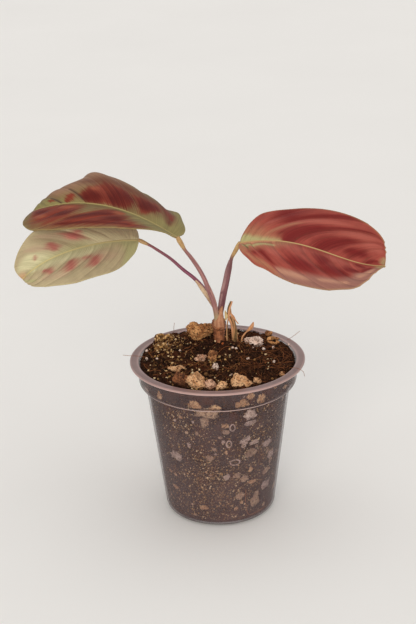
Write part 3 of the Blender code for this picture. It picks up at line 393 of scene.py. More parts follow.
CHIPS = {
    "chip_bark_chunk": Chip(-8.8, 17.0, 4.8, (14.6, 8.6, 10.9), 0, "tan_bark",
                            (1.0, 1.05, 1.0, 0.72, 0.62, 0.95, 1.2, 1.1, 1.0, 0.9, 0.9, 0.8, 0.75, 0.7,
                             0.7, 0.8)),
    "chip_perlite_lump": Chip(18.5, 13.8, 1.6, (11.8, 7.0, 6.4), -8, "white_perlite",
                              (1.05, 1.0, 0.75, 0.95, 1.0, 0.8, 0.8, 0.9)),
    "chip_ring": Chip(29.6, 18.6, 1.5, (6.8, 4.6, 4.0), 10, "tan_bark", form="curl"),
    "chip_brown_back": Chip(27.6, 26.6, 2.1, (4.2, 2.8, 3.3), 0, "brown_bark", looks="mottled_bark"),
    "chip_left_back": Chip(-29.6, 21.2, 1.9, (6.0, 4.0, 5.0), 15, "tan_bark", form="clump"),
    "chip_left_middle": Chip(-25.1, 21.2, 1.5, (5.4, 4.0, 4.4), -20, "tan_bark", form="clump"),
    "chip_left_front": Chip(-29.0, 14.0, 1.1, (7.2, 4.6, 4.0), 5, "tan_bark", form="clump"),
    "chip_centre_left": Chip(-8.4, -4.7, 1.3, (7.4, 4.8, 5.0), 8, "tan_bark",
                             (1.0, 1.05, 1.0, 0.65, 0.85, 0.9, 0.8, 0.85), looks="pink_pumice"),
    "chip_centre": Chip(-2.3, -5.3, 2.0, (5.4, 4.6, 7.2), 0, "brown_bark",
                        (0.9, 1.0, 0.8, 0.85, 0.8, 0.7, 0.9, 0.9), looks="mottled_bark"),
    "chip_perlite_small": Chip(-1.1, -13.6, 1.2, (3.6, 3.2, 4.4), 0, "white_perlite"),
    "chip_flat": Chip(-20.6, -11.6, 1.0, (10.0, 3.8, 3.5), 3, "tan_bark",
                      (1.0, 0.9, 0.8, 0.9, 1.0, 0.8, 0.8, 0.9), looks="cream_pumice"),
    "chip_brown_front": Chip(-18.5, -29.4, 2.8, (8.8, 5.6, 8.6), 0, "brown_bark",
                             (0.95, 0.8, 0.9, 1.1, 1.05, 0.8, 0.9, 1.0)),
    "chip_tan_front": Chip(-10.9, -33.0, 3.3, (11.0, 6.2, 10.6), 0, "tan_bark",
                           (0.75, 0.65, 0.7, 0.85, 0.95, 1.05, 1.1, 1.0, 0.85, 0.7, 0.65, 0.7, 0.8, 1.0,
                            1.15, 1.0), looks="cream_pumice"),
    "chip_beige_front": Chip(-3.9, -34.4, 1.9, (8.0, 5.0, 6.2), 0, "tan_bark", looks="pink_pumice"),
    "chip_beige_corner": Chip(1.4, -36.0, 1.5, (6.6, 4.0, 5.4), 0, "tan_bark",
                              (0.85, 1.2, 0.8, 0.6, 0.75, 1.0, 0.9, 0.9), looks="cream_pumice"),
    "chip_cream_front": Chip(11.6, -33.2, 3.4, (11.6, 5.6, 10.2), 0, "cream_pumice",
                             (1.0, 0.75, 0.62, 0.6, 0.75, 1.05, 0.85, 0.85, 0.9, 0.9, 0.8, 0.7, 0.6, 0.6,
                              0.75, 0.95)),
    "chip_orange_front": Chip(19.3, -30.0, 1.4, (4.4, 3.0, 4.6), 0, "tan_bark",
                              (0.8, 0.8, 0.75, 1.1, 1.0, 0.85, 0.9, 1.0), looks="cream_pumice"),
    "chip_rim_right": Chip(32.0, -21.0, 0.9, (3.6, 2.6, 3.0), -35, "cream_pumice"),
}
CHIP_LUMPS = ((0.30, 1.5), (0.14, 3.6))   # height and frequency, as shares of the radius
CHIP_PITS = ((0.12, 7.0), (0.06, 16.0))  # finer unevenness, likewise
CHIP_BREAKS = 7                           # flat broken faces
CHIP_BREAK_REACH = (0.6, 0.85)            # their distance from the centre
CHIP_DETAIL = 5                           # subdivisions
CLUMP_GRAINS = 90
GRAIN_SIZES = (0.8, 1.9)
CURL_GIRTH = 0.26         # share of its height

# Each stone's lighter colour, darker colour and the painted shade in its pits
STONES = {
    "tan_bark": (srgb(216, 160, 104), srgb(152, 96, 54), srgb(66, 38, 22)),
    "brown_bark": (srgb(146, 92, 58), srgb(76, 44, 28), srgb(40, 23, 15)),
    "mottled_bark": (srgb(196, 138, 90), srgb(106, 62, 36), srgb(48, 28, 18)),
    "cream_pumice": (srgb(236, 190, 144), srgb(190, 134, 88), srgb(112, 72, 46)),
    "pink_pumice": (srgb(222, 178, 148), srgb(160, 110, 82), srgb(84, 54, 40)),
    "wall_stone": (srgb(216, 180, 148), srgb(170, 132, 106), srgb(108, 80, 64)),
    "wall_perlite": (srgb(226, 198, 184), srgb(188, 158, 144), srgb(124, 98, 86)),
    "white_perlite": (srgb(250, 228, 212), srgb(220, 186, 166), srgb(140, 106, 88)),
}
# Crumbs from the darkest to the palest, as (tint, colour)
CRUMB_TINTS = ((0.0, srgb(62, 40, 27)), (0.45, srgb(126, 90, 54)), (0.75, srgb(196, 152, 94)),
               (1.0, srgb(250, 222, 176)))

# Litter on the soil, in numbers, and in sizes from the least to the most
LITTER_INSET = 1.2
CLODS, CLOD_SIZES = 1700, (0.7, 2.2)
EDGE_CLODS, EDGE_CLOD_SIZES, EDGE_CLOD_RADIUS = 220, (0.8, 1.2), 39.4
CRUMBS, CRUMB_SIZES = 1400, (0.35, 1.1)
HEAPED_CRUMBS, CRUMB_HEAP = 260, ((-26, 5.0), (15, 5.5))    # mean and spread, in x and in y
RARE_GROWTH = 0.7                                           # the most that a few crumbs are larger by
BEAD_SIZES = (1.1, 1.8)
FIBRES, FIBRE_SPANS = 1300, 5
FIBRE_LENGTHS, FIBRE_LIFTS, FIBRE_RADII = (4, 15), (0.2, 1.5), (0.06, 0.12)
HAIR_RADIUS = 0.11

# Litter behind the wall: its lowest and highest crumb, and the crumbs' clusters, as the number of the first
# crumb after each, the mean and spread of their angle, and of their height
WALL_CRUMBS, WALL_CRUMB_SIZES, WALL_SPAN = 9200, (0.3, 0.75), (4, 79)
WALL_CRUMB_THICKNESS, WALL_BIT_THICKNESS, ROOT_RADIUS = 0.2, 0.5, 0.22
WALL_CLUSTERS = ((3200, (-8, 25), (25, 15)), (4200, (-28, 15), (60, 11)), (5200, (40, 14), (52, 16)))

# Bits behind the rest of the wall: least and most angle, height, width and how tall
BACK_BITS, BACK_BIT_SPANS = 70, ((60, 300), (8, 78), (1.5, 6), (1.2, 4))

# Pale bits that lie against the pot's wall: degrees from the front and height of their middle, width, how
# tall, and slot
TAN, CREAM, WHITE = "tan_bark", "cream_pumice", "white_perlite"
WALL_BITS = (
    (-8.9, 68.9, 12.9, 6.9, CREAM), (-12.3, 63.2, 4.2, 5.7, CREAM), (-16.9, 74.0, 5.0, 4.2, TAN),
    (-3.0, 72.7, 6.6, 4.8, TAN), (26.3, 65.7, 6.5, 5.4, WHITE), (26.7, 60.7, 6.5, 2.7, WHITE),
    (4.7, 61.1, 3.6, 2.7, TAN), (5.5, 57.4, 3.6, 2.8, CREAM), (0.3, 54.3, 2.0, 1.5, CREAM),
    (3.1, 51.7, 1.8, 1.8, WHITE), (22.0, 50.8, 4.8, 3.4, WHITE), (25.5, 52.6, 1.8, 1.8, WHITE),
    (31.5, 48.6, 5.1, 2.5, WHITE), (47.1, 45.1, 7.8, 3.8, WHITE), (34.3, 46.1, 1.7, 1.6, CREAM),
    (29.0, 42.9, 7.4, 4.4, CREAM), (49.0, 40.2, 1.8, 2.9, CREAM), (56.9, 38.7, 2.3, 2.0, CREAM),
    (54.7, 36.6, 5.4, 4.4, WHITE), (-5.2, 47.5, 2.1, 1.8, CREAM), (-4.0, 44.4, 1.5, 1.2, WHITE),
    (-44.2, 39.5, 7.5, 5.2, WHITE), (5.8, 30.4, 3.1, 3.4, WHITE), (15.5, 30.6, 4.4, 2.8, CREAM),
    (23.7, 28.0, 4.4, 3.8, CREAM), (31.7, 24.7, 4.5, 2.2, TAN), (29.8, 32.9, 2.2, 3.2, TAN),
    (50.5, 28.0, 6.0, 3.4, CREAM), (55.5, 33.0, 2.4, 4.2, CREAM), (51.7, 19.1, 7.1, 4.4, WHITE),
    (19.3, 17.8, 4.5, 3.8, CREAM), (37.1, 11.9, 5.3, 6.5, CREAM), (38.5, 15.6, 4.0, 4.2, CREAM),
    (-29.0, 55.8, 1.8, 1.9, CREAM), (-19.5, 56.2, 1.6, 2.3, CREAM), (-22.1, 62.8, 1.4, 1.5, WHITE),
    (-33.3, 64.2, 2.5, 1.9, TAN),
    (-39.7, 61.3, 1.4, 1.3, WHITE), (-28.0, 48.3, 2.1, 3.1, WHITE), (-49.0, 27.2, 2.2, 1.7, TAN),
    (-56.2, 27.8, 2.7, 1.7, TAN), (-51.8, 19.2, 4.8, 2.4, TAN), (-31.2, 12.0, 1.6, 1.3, CREAM),
    (-28.9, 5.7, 2.2, 1.1, CREAM), (-17.8, 11.4, 4.5, 2.3, TAN), (15.6, 10.3, 1.9, 1.9, TAN),
    (-13.2, 33.3, 1.1, 1.3, TAN), (-9.5, 31.6, 1.6, 1.3, CREAM), (5.6, 45.2, 1.3, 2.5, TAN),
    (-9.2, 41.9, 3.7, 3.1, CREAM), (21.3, 13.5, 1.7, 1.9, TAN), (52.0, 6.7, 2.0, 1.7, CREAM),
    (23.5, 78.5, 6.7, 4.6, TAN), (16.9, 74.7, 6.4, 6.4, TAN), (32.5, 75.3, 4.4, 6.4, TAN),
    (-18.4, 74.3, 4.9, 5.6, TAN), (18.6, 78.5, 1.6, 1.6, WHITE), (-48.0, 75.3, 3.9, 5.0, TAN),
    (45.3, 78.6, 2.6, 1.9, TAN), (57.6, 75.8, 4.2, 1.7, TAN),
)
# The stone that each looks like through the plastic
WALL_LOOKS = {TAN: "cream_pumice", CREAM: "wall_stone", WHITE: "wall_perlite"}
# Rings likewise, with half their width and half of how tall, and a root's way as degrees and height
WALL_RINGS = ((7.9, 50.2, 1.3, 1.9), (13.6, 38.8, 2.5, 1.6), (10.9, 59.7, 1.3, 1.9), (21.2, 48.0, 1.0, 0.9))
WALL_ROOT = ((25.2, 20.9), (25.4, 15.0), (26.8, 9.8), (29.9, 5.2), (39.9, 4.4), (55.4, 4.6))

# Bright beads on the soil, x and y, and long hairs, x, y, z
BEADS = ((-26.1, 15.8), (-36.6, 9.4), (-36.4, 1.4), (-19.2, 6.9), (-31.1, -0.2), (15.6, -4.8), (29.1, 8.9),
         (18.7, 6.2), (28.8, -7.2), (6.9, -20.3), (-12.5, 22.4), (7.9, 2.7), (9.8, 4.2), (37.6, 13.6),
         (24.1, 7.3))
HAIRS = (
    ((-48.7, 3.7, 84.5), (-45.0, 3.4, 84.2), (-40.5, 3.4, 83.8), (-36.5, 4.6, 82.6)),
    ((36.0, -15.0, 83.4), (40.5, -18.6, 84.1), (42.6, -19.6, 83.2), (43.6, -19.9, 80.4)),
    ((35.5, 20.5, 82.8), (39.5, 22.0, 84.3), (44.0, 23.5, 87.2)),
    ((-22.3, 32.6, 82.8), (-22.7, 32.9, 86.5), (-22.2, 32.8, 90.0)),
    ((-7.2, 15.4, 90.0), (-6.6, 15.2, 93.0), (-7.6, 15.0, 95.2)),
)


class Shader:
    """A material's node tree, with short calls for the nodes used here."""

    def __init__(self, name):
        self.material = bpy.data.materials.new(name)
        self.material.use_nodes = True
        self.tree = self.material.node_tree
        self.surface = self.tree.nodes["Principled BSDF"]
        self.place = self.node("TexCoord").outputs["Object"]

    def node(self, kind, inputs=None, **settings):
        """A node with its settings, and what goes into its inputs, by their names or numbers."""
        node = self.tree.nodes.new("ShaderNode" + kind)
        for key, value in settings.items():
            setattr(node, key, value)
        for key, value in (inputs or {}).items():
            self.put(node.inputs[key], value)
        return node

    def put(self, socket, value):
        """Link a socket to another node's output, or set its value."""
        if isinstance(value, bpy.types.NodeSocket):
            self.tree.links.new(value, socket)
        else:
            coloured = isinstance(value, tuple) and socket.type == "RGBA"
            socket.default_value = (*value, 1.0) if coloured else value

    def value(self, name):
        """A value kept on the vertices."""
        return self.node("Attribute", attribute_name=name).outputs["Fac"]

    def math(self, operation, first, second=0.0, clamp=False):
        return self.node("Math", {0: first, 1: second}, operation=operation, use_clamp=clamp).outputs["Value"]

    def total(self, *terms, clamp=False):
        """The sum of values, each given alone or as (value, share)."""
        terms = [self.math("MULTIPLY", *term) if isinstance(term, tuple) else term for term in terms]
        result = terms[0]
        for term in terms[1:]:
            result = self.math("ADD", result, term, clamp)
        return result

    def texture(self, vector, scale, detail, roughness):
        inputs = {"Vector": vector, "Scale": scale, "Detail": detail, "Roughness": roughness}
        return self.node("TexNoise", inputs).outputs["Fac"]

    def noise(self, size, detail=3.0, roughness=0.55):
        """Soft noise with lumps of about a size in millimetres, 0 to 1."""
        return self.texture(self.place, 1 / (size * MM), detail, roughness)

    def fibres(self, first, second, detail, roughness):
        """Noise along a surface's own two values, each given as (value, how often it changes)."""
        lines = self.node("CombineXYZ", {0: self.math("MULTIPLY", *first), 1: self.math("MULTIPLY", *second)})
        return self.texture(lines.outputs[0], 1.0, detail, roughness)

    def ramp(self, value, low, high, start=0.0, end=1.0):
        """Smooth step from start at low to end at high."""
        inputs = {"Value": value, "From Min": low, "From Max": high, "To Min": start, "To Max": end}
        return self.node("MapRange", inputs, interpolation_type="SMOOTHSTEP").outputs["Result"]

    def colours(self, value, stops):
        """A run of colours, given as (place, colour) pairs."""
        node = self.node("ValToRGB", {"Fac": value})
        elements = node.color_ramp.elements
        while len(elements) < len(stops):
            elements.new(1.0)
        for element, (place, colour) in zip(elements, stops):
            element.position = place
            element.color = (*colour, 1.0)
        return node.outputs["Color"]

    def mix(self, factor, first, second, blend="MIX"):
        inputs = {0: factor, 6: first, 7: second}
        return self.node("Mix", inputs, data_type="RGBA", blend_type=blend).outputs[2]

    def toned(self, colour, *step):
        """A colour multiplied by a ramp."""
        return self.mix(1.0, colour, self.ramp(*step), "MULTIPLY")

    def bump(self, height, depth):
        """Relief of a depth in millimetres where height goes from 0 to 1."""
        node = self.node("Bump", {"Strength": 1.0, "Distance": depth * MM, "Height": height})
        self.put(self.surface.inputs["Normal"], node.outputs["Normal"])

    def finish(self, colour, roughness, specular):
        self.put(self.surface.inputs["Base Color"], colour)
        self.put(self.surface.inputs["Roughness"], roughness)
        self.put(self.surface.inputs["Specular IOR Level"], specular)
        return self.material


def darker(colour, share):
    return tuple(part * share for part in colour)


def add_object(name, data):
    obj = bpy.data.objects.new(name, data)
    bpy.context.scene.collection.objects.link(obj)
    return obj


def piece(name, mesh, materials, slot, *replaced):
    """Put a mesh in the scene as a piece of the object, in place of the named solids."""
    obj = add_object(name, mesh)
    for material in materials:
        obj.data.materials.append(material)
    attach(obj, "root")
    if replaced:
        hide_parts(*replaced)
    return obj


def set_values(mesh, **values):
    for name, numbers in values.items():
        layer = mesh.attributes.new(name, "FLOAT", "POINT")
        layer.data.foreach_set("value", np.asarray(numbers, np.float32).ravel())


class Batch:
    """Bodies gathered into one mesh, with values kept on their vertices."""

    def __init__(self):
        self.points, self.faces, self.values, self.count = [], [], {}, 0

    def add(self, points, faces, **values):
        self.points.append(np.asarray(points, float))
        self.faces += [tuple(corner + self.count for corner in face) for face in faces]
        for name, numbers in values.items():
            self.values.setdefault(name, []).append(np.broadcast_to(numbers, len(points)))
        self.count += len(points)
        return self

    def mesh(self, name, smooth=True):
        mesh = bpy.data.meshes.new(name)
        mesh.from_pydata(np.concatenate(self.points) * MM, [], self.faces)
        set_values(mesh, **{key: np.concatenate(numbers) for key, numbers in self.values.items()})
        if smooth:
            mesh.shade_smooth()
        return mesh

    def piece(self, name, material, slot, *replaced, smooth=True):
        return piece(name, self.mesh(name, smooth), (material,), slot, *replaced)


# Blades

def bernstein(values, t):
    n = len(values) - 1
    return sum(math.comb(n, i) * t ** i * (1 - t) ** (n - i) * value for i, value in enumerate(values))


def midrib(leaf):
    """Stations along the midrib: place, direction, level sideways direction and upward normal."""
    t = np.linspace(0, 1, MIDRIB_STEPS + 1)
    heading, pitch = np.radians(bernstein(leaf.heading, t)), np.radians(bernstein(leaf.pitch, t))
    along = np.stack([leaf.side * np.cos(heading) * np.cos(pitch), np.sin(heading) * np.cos(pitch),
                      np.sin(pitch)], axis=1)
    steps = (along[1:] + along[:-1]) / 2 * leaf.length / MIDRIB_STEPS
    place = np.concatenate([np.zeros((1, 3)), np.cumsum(steps, axis=0)]) + np.array(leaf.base)
    across = np.stack([-leaf.side * np.sin(heading), np.cos(heading), np.zeros_like(t)], axis=1)
    return t, place, along, across, np.cross(along, across) * leaf.side


def margin(leaf, half, s):
    """Distance along and out from the midrib of a half's margin, for s from 0 at the base to 1."""
    start = s / SHOULDER_REACH
    p = leaf.length * np.sin(math.pi * s / 2) ** (2 * half.skew) - leaf.shoulder * start * np.exp(1 - start)
    q = leaf.half_width * np.sin(math.pi * s) ** leaf.fullness
    step = 1 / (len(half.margin) + 1)
    for k, height in enumerate(half.margin):
        q = q + height * np.exp(-((s - (k + 1) * step) / (MARGIN_SPREAD * step)) ** 2)
    ends = np.sin(math.pi * s) <= 1e-9
    return np.where(ends, leaf.length * np.round(s), p), np.where(ends, 0.0, q)


def margin_place(half, u, out):
    """The margin's place that a point is level with: it follows its side vein, which sweeps tipwards."""
    knots = np.linspace(0, 1, VEINS + 2)
    start, end = (np.interp(u, knots, (0, *places, 1)) for places in zip(*half.veins))
    return start + (end - start) * out ** half.sweep


def blade_points(leaf, u, w):
    """Points in millimetres at u from vein to vein (0..1) and w across the blade (-1 near, 0, +1 far),
    and their distances from the midrib."""
    t, place, along, across, up = midrib(leaf)
    far, out = w >= 0, np.abs(w)

    def of_half(value):
        return np.where(far, value(leaf.far), value(leaf.near))

    def at(values):
        return np.stack([np.interp(x, t, values[:, axis]) for axis in range(3)], axis=-1)

    s = of_half(lambda half: margin_place(half, u, out))
    p_margin = of_half(lambda half: margin(leaf, half, s)[0])
    q = of_half(lambda half: margin(leaf, half, s)[1]) * out
    p_start = leaf.length * s * (1 - BASE_CROWDING + BASE_CROWDING * s)
    p = p_start + (p_margin - p_start) * out ** TIP_PULL
    x = np.clip(p / leaf.length, 0, 1)
    over = p - x * leaf.length
    curl = of_half(lambda half: half.curl) * q / CURL_REACH
    angle = np.radians(of_half(lambda half: bernstein(half.rise, x)) + curl / 2)[..., None]
    sideways, upward = at(across) * np.where(far, 1, -1)[..., None], at(up)
    swelling = np.abs(np.sin(math.pi * (VEINS + 1) * u)) ** QUILT_CREST * np.sin(math.pi * u) ** QUILT_ENDS
    trough = 1 - np.exp(-(out / QUILT_TROUGH) ** 2)
    height = of_half(lambda half: half.quilt) * swelling * trough * (1 - QUILT_FADE * out ** 3)
    waves = np.sin(math.tau * MARGIN_WAVES * u + MARGIN_SHIFT * far) * np.sin(math.pi * u)
    height = height + leaf.wave * waves * out ** 4
    direction = np.cos(angle) * sideways + np.sin(angle) * upward
    normal = np.cos(angle) * upward - np.sin(angle) * sideways
    points = at(place) + at(along) * over[..., None] + direction * q[..., None] + normal * height[..., None]
    return points, q


def stroke_cover(vein, w, start_vein, start_out, end_vein, end_out, half_width, strength=1.0):
    start = np.array((start_vein * VEIN_SPAN, start_out))
    run = np.array((end_vein * VEIN_SPAN, end_out)) - start
    place = np.stack([vein * VEIN_SPAN, w], axis=-1) - start
    share = np.clip(place @ run / (run @ run), 0, 1)
    away = np.linalg.norm(place - share[:, None] * run, axis=1)
    reach = half_width * (STROKE_END + (1 - STROKE_END) * np.sin(math.pi * share))
    return np.where((w >= 0) == (start_out >= 0), strength - away / reach, -1)


def patch_cover(vein, w, half, low, high, softness):
    out = np.abs(w)
    inside = np.minimum(out - np.interp(vein, *zip(*low)), np.interp(vein, *zip(*high)) - out)
    inside = np.minimum(inside, np.minimum(vein - low[0][0], low[-1][0] - vein) * VEIN_SPAN)
    return np.where((w >= 0) == half, inside / softness, -1)


def coverage(coat, vein, w):
    """How far inside a coat's areas each point lies: 1 deep inside, 0 at the edge, negative outside."""
    covers = [stroke_cover(vein, w, *stroke) for stroke in coat.strokes]
    covers += [patch_cover(vein, w, *patch) for patch in coat.patches]
    return np.clip(np.max(covers, axis=0), -1, 1)


def blade_material(name, paint):
    """The blade's upper face: its ground, its coats with feathered edges, its midrib and fine veins, and
    painted shade and light beside the side veins.
    """
    shader = Shader(name + "_upper_face")
    vein, out, rib = shader.value("vein"), shader.value("out"), shader.value("rib")
    streak = shader.fibres((vein, 9.0), (out, 2.2), 3.0, 0.6)
    threads = shader.fibres((vein, 22.0), (out, 1.2), 1.0, 0.5)
    mottle, grain = shader.noise(5.0, 4.0), shader.noise(0.5, 2.0)
    colour = shader.mix(shader.ramp(mottle, 0.3, 0.7), paint["ground"], darker(paint["ground"], 0.86))
    ragged = shader.total((streak, 0.6), (mottle, 0.2), (threads, 0.5), -0.65)
    for coat in paint["coats"]:
        amount = shader.total(shader.value(coat.name), (ragged, 2 * coat.streaks))
        colour = shader.mix(shader.ramp(amount, -coat.feather, coat.feather), colour, coat.colour)
    # Painted shade on the basal side of each side vein and painted light on its tip side
    between = shader.math("FRACT", vein)
    shaded, lit = paint["veins"]
    for step in ((threads, 0.35, 0.7, 1.1, 0.88), (grain, 0.3, 0.7, 0.96, 1.04),
                 (between, 0.7, 0.97, 1.0, shaded), (between, 0.2, 0.0, 1.0, lit)):
        colour = shader.toned(colour, *step)
    rim = shader.ramp(shader.math("ABSOLUTE", out), 0.965, 1.0, 0.0, RIM_SHARE)
    colour = shader.mix(rim, colour, paint["rib"])
    colour = shader.mix(shader.ramp(rib, *RIB_EDGE), colour, paint["rib"])
    shader.bump(shader.total((threads, 0.7), (grain, 0.3)), 0.12)
    return shader.finish(colour, shader.ramp(grain, 0.2, 0.8, 0.5, 0.62), 0.15)


def underside_material(name, paint):
    """The blade's lower face: duller, with the fine veins showing."""
    shader = Shader(name + "_lower_face")
    threads = shader.fibres((shader.value("vein"), 18.0), (shader.value("out"), 1.0), 2.0, 0.5)
    colour = shader.mix(shader.ramp(shader.noise(6.0), 0.3, 0.7), paint["underside"],
                        darker(paint["underside"], 0.75))
    colour = shader.toned(colour, threads, 0.3, 0.7, 1.12, 0.88)
    colour = shader.mix(shader.ramp(shader.value("rib"), *RIB_EDGE), colour, paint["rib"])
    shader.bump(threads, 0.15)
    return shader.finish(colour, 0.55, 0.4)


def build_leaf(name, leaf, paint):
    bm = bmesh.new()
    rows = (VEINS + 1) * FINE_ROWS_PER_VEIN
    bmesh.ops.create_grid(bm, x_segments=rows, y_segments=2 * FINE_COLUMNS, size=1.0)
    u = np.array([(v.co.x + 1) / 2 for v in bm.verts])
    steps = np.array([v.co.y for v in bm.verts])
    w = np.where(np.abs(steps) < 1e-6, 0.0, np.sign(steps) * np.abs(steps) ** COLUMN_CROWDING)
    points, q = blade_points(leaf, u, w)
    vein = u * (VEINS + 1)
    for centre, spread, lift in EDGE_LIFTS.get(name, ()):
        points[:, 2] += lift * np.exp(-((vein - centre) / spread) ** 2) * np.maximum(w, 0) ** 3
    weights = np.exp(-(w / MIDRIB_SHARE) ** 2) * (1 - MIDRIB_TAPER * u) * (1 - np.exp(-u / MIDRIB_START))
    layer = bm.verts.layers.deform.verify()
    for vertex, point, weight in zip(bm.verts, points, weights):
        vertex.co = Vector(point * MM)
        vertex[layer][0] = float(weight)
    bm.normal_update()
    if sum(face.normal.z for face in bm.faces) < 0:
        bmesh.ops.reverse_faces(bm, faces=bm.faces)
    mesh = bpy.data.meshes.new(name + "_blade")
    bm.to_mesh(mesh)
    bm.free()
    set_values(mesh, vein=vein, out=w, rib=1 - q / (RIB_WIDTH - RIB_TAPER * u),
               **{coat.name: coverage(coat, vein, w) for coat in paint["coats"]})
    mesh.shade_smooth()
    faces = (blade_material(name, paint), underside_material(name, paint))
    obj = piece(name + "_blade", mesh, faces, leaf.slot, name)
    obj.vertex_groups.new(name="midrib")
    solidify = obj.modifiers.new("thickness", "SOLIDIFY")
    settings = dict(thickness=MIDRIB * MM, offset=-1.0, use_even_offset=False, vertex_group="midrib",
                    thickness_vertex_group=BLADE / MIDRIB, material_offset=1)
    for key, value in settings.items():
        setattr(solidify, key, value)


# Bodies of revolution, tubes and crumbs

def lathe(profile, steps):
    """Points and faces of a body turned round the upright axis, from the base's centre outwards."""
    angles = np.arange(steps) * math.tau / steps
    points, rings, faces = [], [], []
    for radius, height in profile:
        count = steps if radius > 0 else 1
        rings.append([len(points) + k % count for k in range(steps)])
        points += [(radius * math.cos(a), radius * math.sin(a), height) for a in angles[:count]]
    for low, high in zip(rings, rings[1:]):
        for k in range(steps):
            following = (k + 1) % steps
            faces.append(tuple(dict.fromkeys((low[k], low[following], high[following], high[k]))))
    return np.array(points), faces


def smooth_route(route, steps):
    """Points of a smooth curve through the route's own points, with their radii."""
    points = np.array(route, float)
    spans = np.linalg.norm(np.diff(points[:, :3], axis=0), axis=1)[:, None]
    rates = np.diff(points, axis=0) / spans
    middle = (rates[1:] * spans[:-1] + rates[:-1] * spans[1:]) / (spans[1:] + spans[:-1])
    speeds = np.vstack([rates[:1], middle, rates[-1:]])
    t = np.linspace(0, 1, steps, endpoint=False)[:, None]
    rows = [(2 * t ** 3 - 3 * t ** 2 + 1) * points[k] + (t ** 3 - 2 * t ** 2 + t) * span * speeds[k]
            + (3 * t ** 2 - 2 * t ** 3) * points[k + 1] + (t ** 3 - t ** 2) * span * speeds[k + 1]
            for k, span in enumerate(spans)]
    return np.vstack([*rows, points[-1:]])


def tube(line, sides, flatness=1.0, hint=(0.0, 1.0, 0.0)):
    """Points and faces of a closed tube along x, y, z, radius rows. flatness scales it along the hint.
    Also each point's share of the way along, and its turn about the line."""
    places, radii = line[:, :3], line[:, 3]
    ahead = np.gradient(places, axis=0)
    ahead /= np.linalg.norm(ahead, axis=1)[:, None]
    thin = np.array(hint, float) - ahead * (ahead @ np.array(hint, float))[:, None]
    thin /= np.linalg.norm(thin, axis=1)[:, None]
    wide = np.cross(thin, ahead)
    turn = np.arange(sides) * math.tau / sides
    rings = (places[:, None] + radii[:, None, None] * (np.cos(turn)[None, :, None] * wide[:, None]
             + flatness * np.sin(turn)[None, :, None] * thin[:, None]))
    count = len(places)
    first, last, faces = count * sides, count * sides + 1, []
    for start in range(0, (count - 1) * sides, sides):
        for k in range(sides):
            following = (k + 1) % sides
            faces.append((start + k, start + following, start + sides + following, start + sides + k))
    for k in range(sides):
        following = (k + 1) % sides
        faces.append((first, following, k))
        faces.append((last, (count - 1) * sides + k, (count - 1) * sides + following))
    values = dict(along=np.concatenate([np.repeat(np.linspace(0, 1, count), sides), [0, 1]]),
                  around=np.concatenate([np.tile(turn / math.tau, count), [0, 0]]))
    return np.vstack([rings.reshape(-1, 3), places[:1], places[-1:]]), faces, values


def ball(detail):
    """Points and faces of a unit ball."""
    bm = bmesh.new()
    bmesh.ops.create_icosphere(bm, subdivisions=detail, radius=1.0)
    points = np.array([vertex.co[:] for vertex in bm.verts])
    faces = [tuple(vertex.index for vertex in face.verts) for face in bm.faces]
    bm.free()
    return points, faces


def crumb(rng, shape, size, roughness):
    """A rough little lump of about that size."""
    stretch = np.array([rng.uniform(0.7, 1.15) for _ in range(3)]) * size / 2
    bumps = np.array([rng.uniform(1 - roughness, 1 + roughness) for _ in shape])
    return shape * bumps[:, None] * stretch


def random_shift(rng):
    return Vector([rng.uniform(-9, 9) for _ in range(3)])


# Pot and soil

def arc(centre, radii, start, end, steps):
    """Points on an ellipse's arc, as (radius, height)."""
    angles = np.radians(np.linspace(start, end, steps + 1))
    return [(centre[0] + radii[0] * math.cos(a), centre[1] + radii[1] * math.sin(a)) for a in angles]


def base_arc(reach, steps):
    return arc((BASE_RADIUS - BASE_ROUND, BASE_ROUND), (reach, reach), -90, 0, steps)


def band_arc(outset, steps):
    """The rounding at the band's foot, from below, moved inwards by outset."""
    width, height = BAND_ROUND
    centre = (BAND_RADIUS - BAND_TAPER - width, POT_HEIGHT - BAND_HEIGHT + STEP_ROUND + height)
    return list(reversed(arc(centre, (width - outset, height - outset), 0, -90, steps)))


def inner_profile(inset):
    """The wall from the base's centre up to the band, moved inwards by inset."""
    points = [(0.0, inset)] + base_arc(BASE_ROUND - inset, 8)
    points.append((STEP_RADIUS - inset, POT_HEIGHT - BAND_HEIGHT + STEP_ROUND + inset))
    return points + band_arc(inset, 8)


def side_radius(height, inset):
    """The wall's radius at a height, moved inwards by inset."""
    radii, heights = zip(*inner_profile(inset)[1:])
    return float(np.interp(height, heights, radii))


def pot_material():
    """Milky clear plastic: thin and see-through on the walls, whiter where it is thick or curves away, with
    painted highlight lines at some edges.
    """
    shader = Shader("milky_plastic")
    milk, corner = shader.value("milk"), shader.value("corner")
    facing = shader.node("LayerWeight", {"Blend": 0.5}).outputs["Facing"]
    grazing = shader.math("POWER", facing, 3.0)
    alpha = shader.total((milk, 0.75), shader.ramp(shader.noise(14.0), 0.3, 0.7, 0.1, 0.17))
    alpha = shader.total(alpha, (grazing, 0.4), clamp=True)
    # Where corner is set, painted highlight lines: the plastic is made nearly opaque there
    alpha = shader.math("MAXIMUM", alpha, shader.math("MULTIPLY", corner, 0.9))
    shader.put(shader.surface.inputs["Alpha"], alpha)
    colour = shader.mix(milk, srgb(117, 99, 101), srgb(166, 132, 126))
    colour = shader.mix(grazing, colour, srgb(78, 62, 59))
    # and given the painted highlight's pale colour
    colour = shader.mix(corner, colour, srgb(226, 194, 184))
    shader.bump(shader.noise(2.5, 2.0), 0.05)
    return shader.finish(colour, 0.28, 0.6)


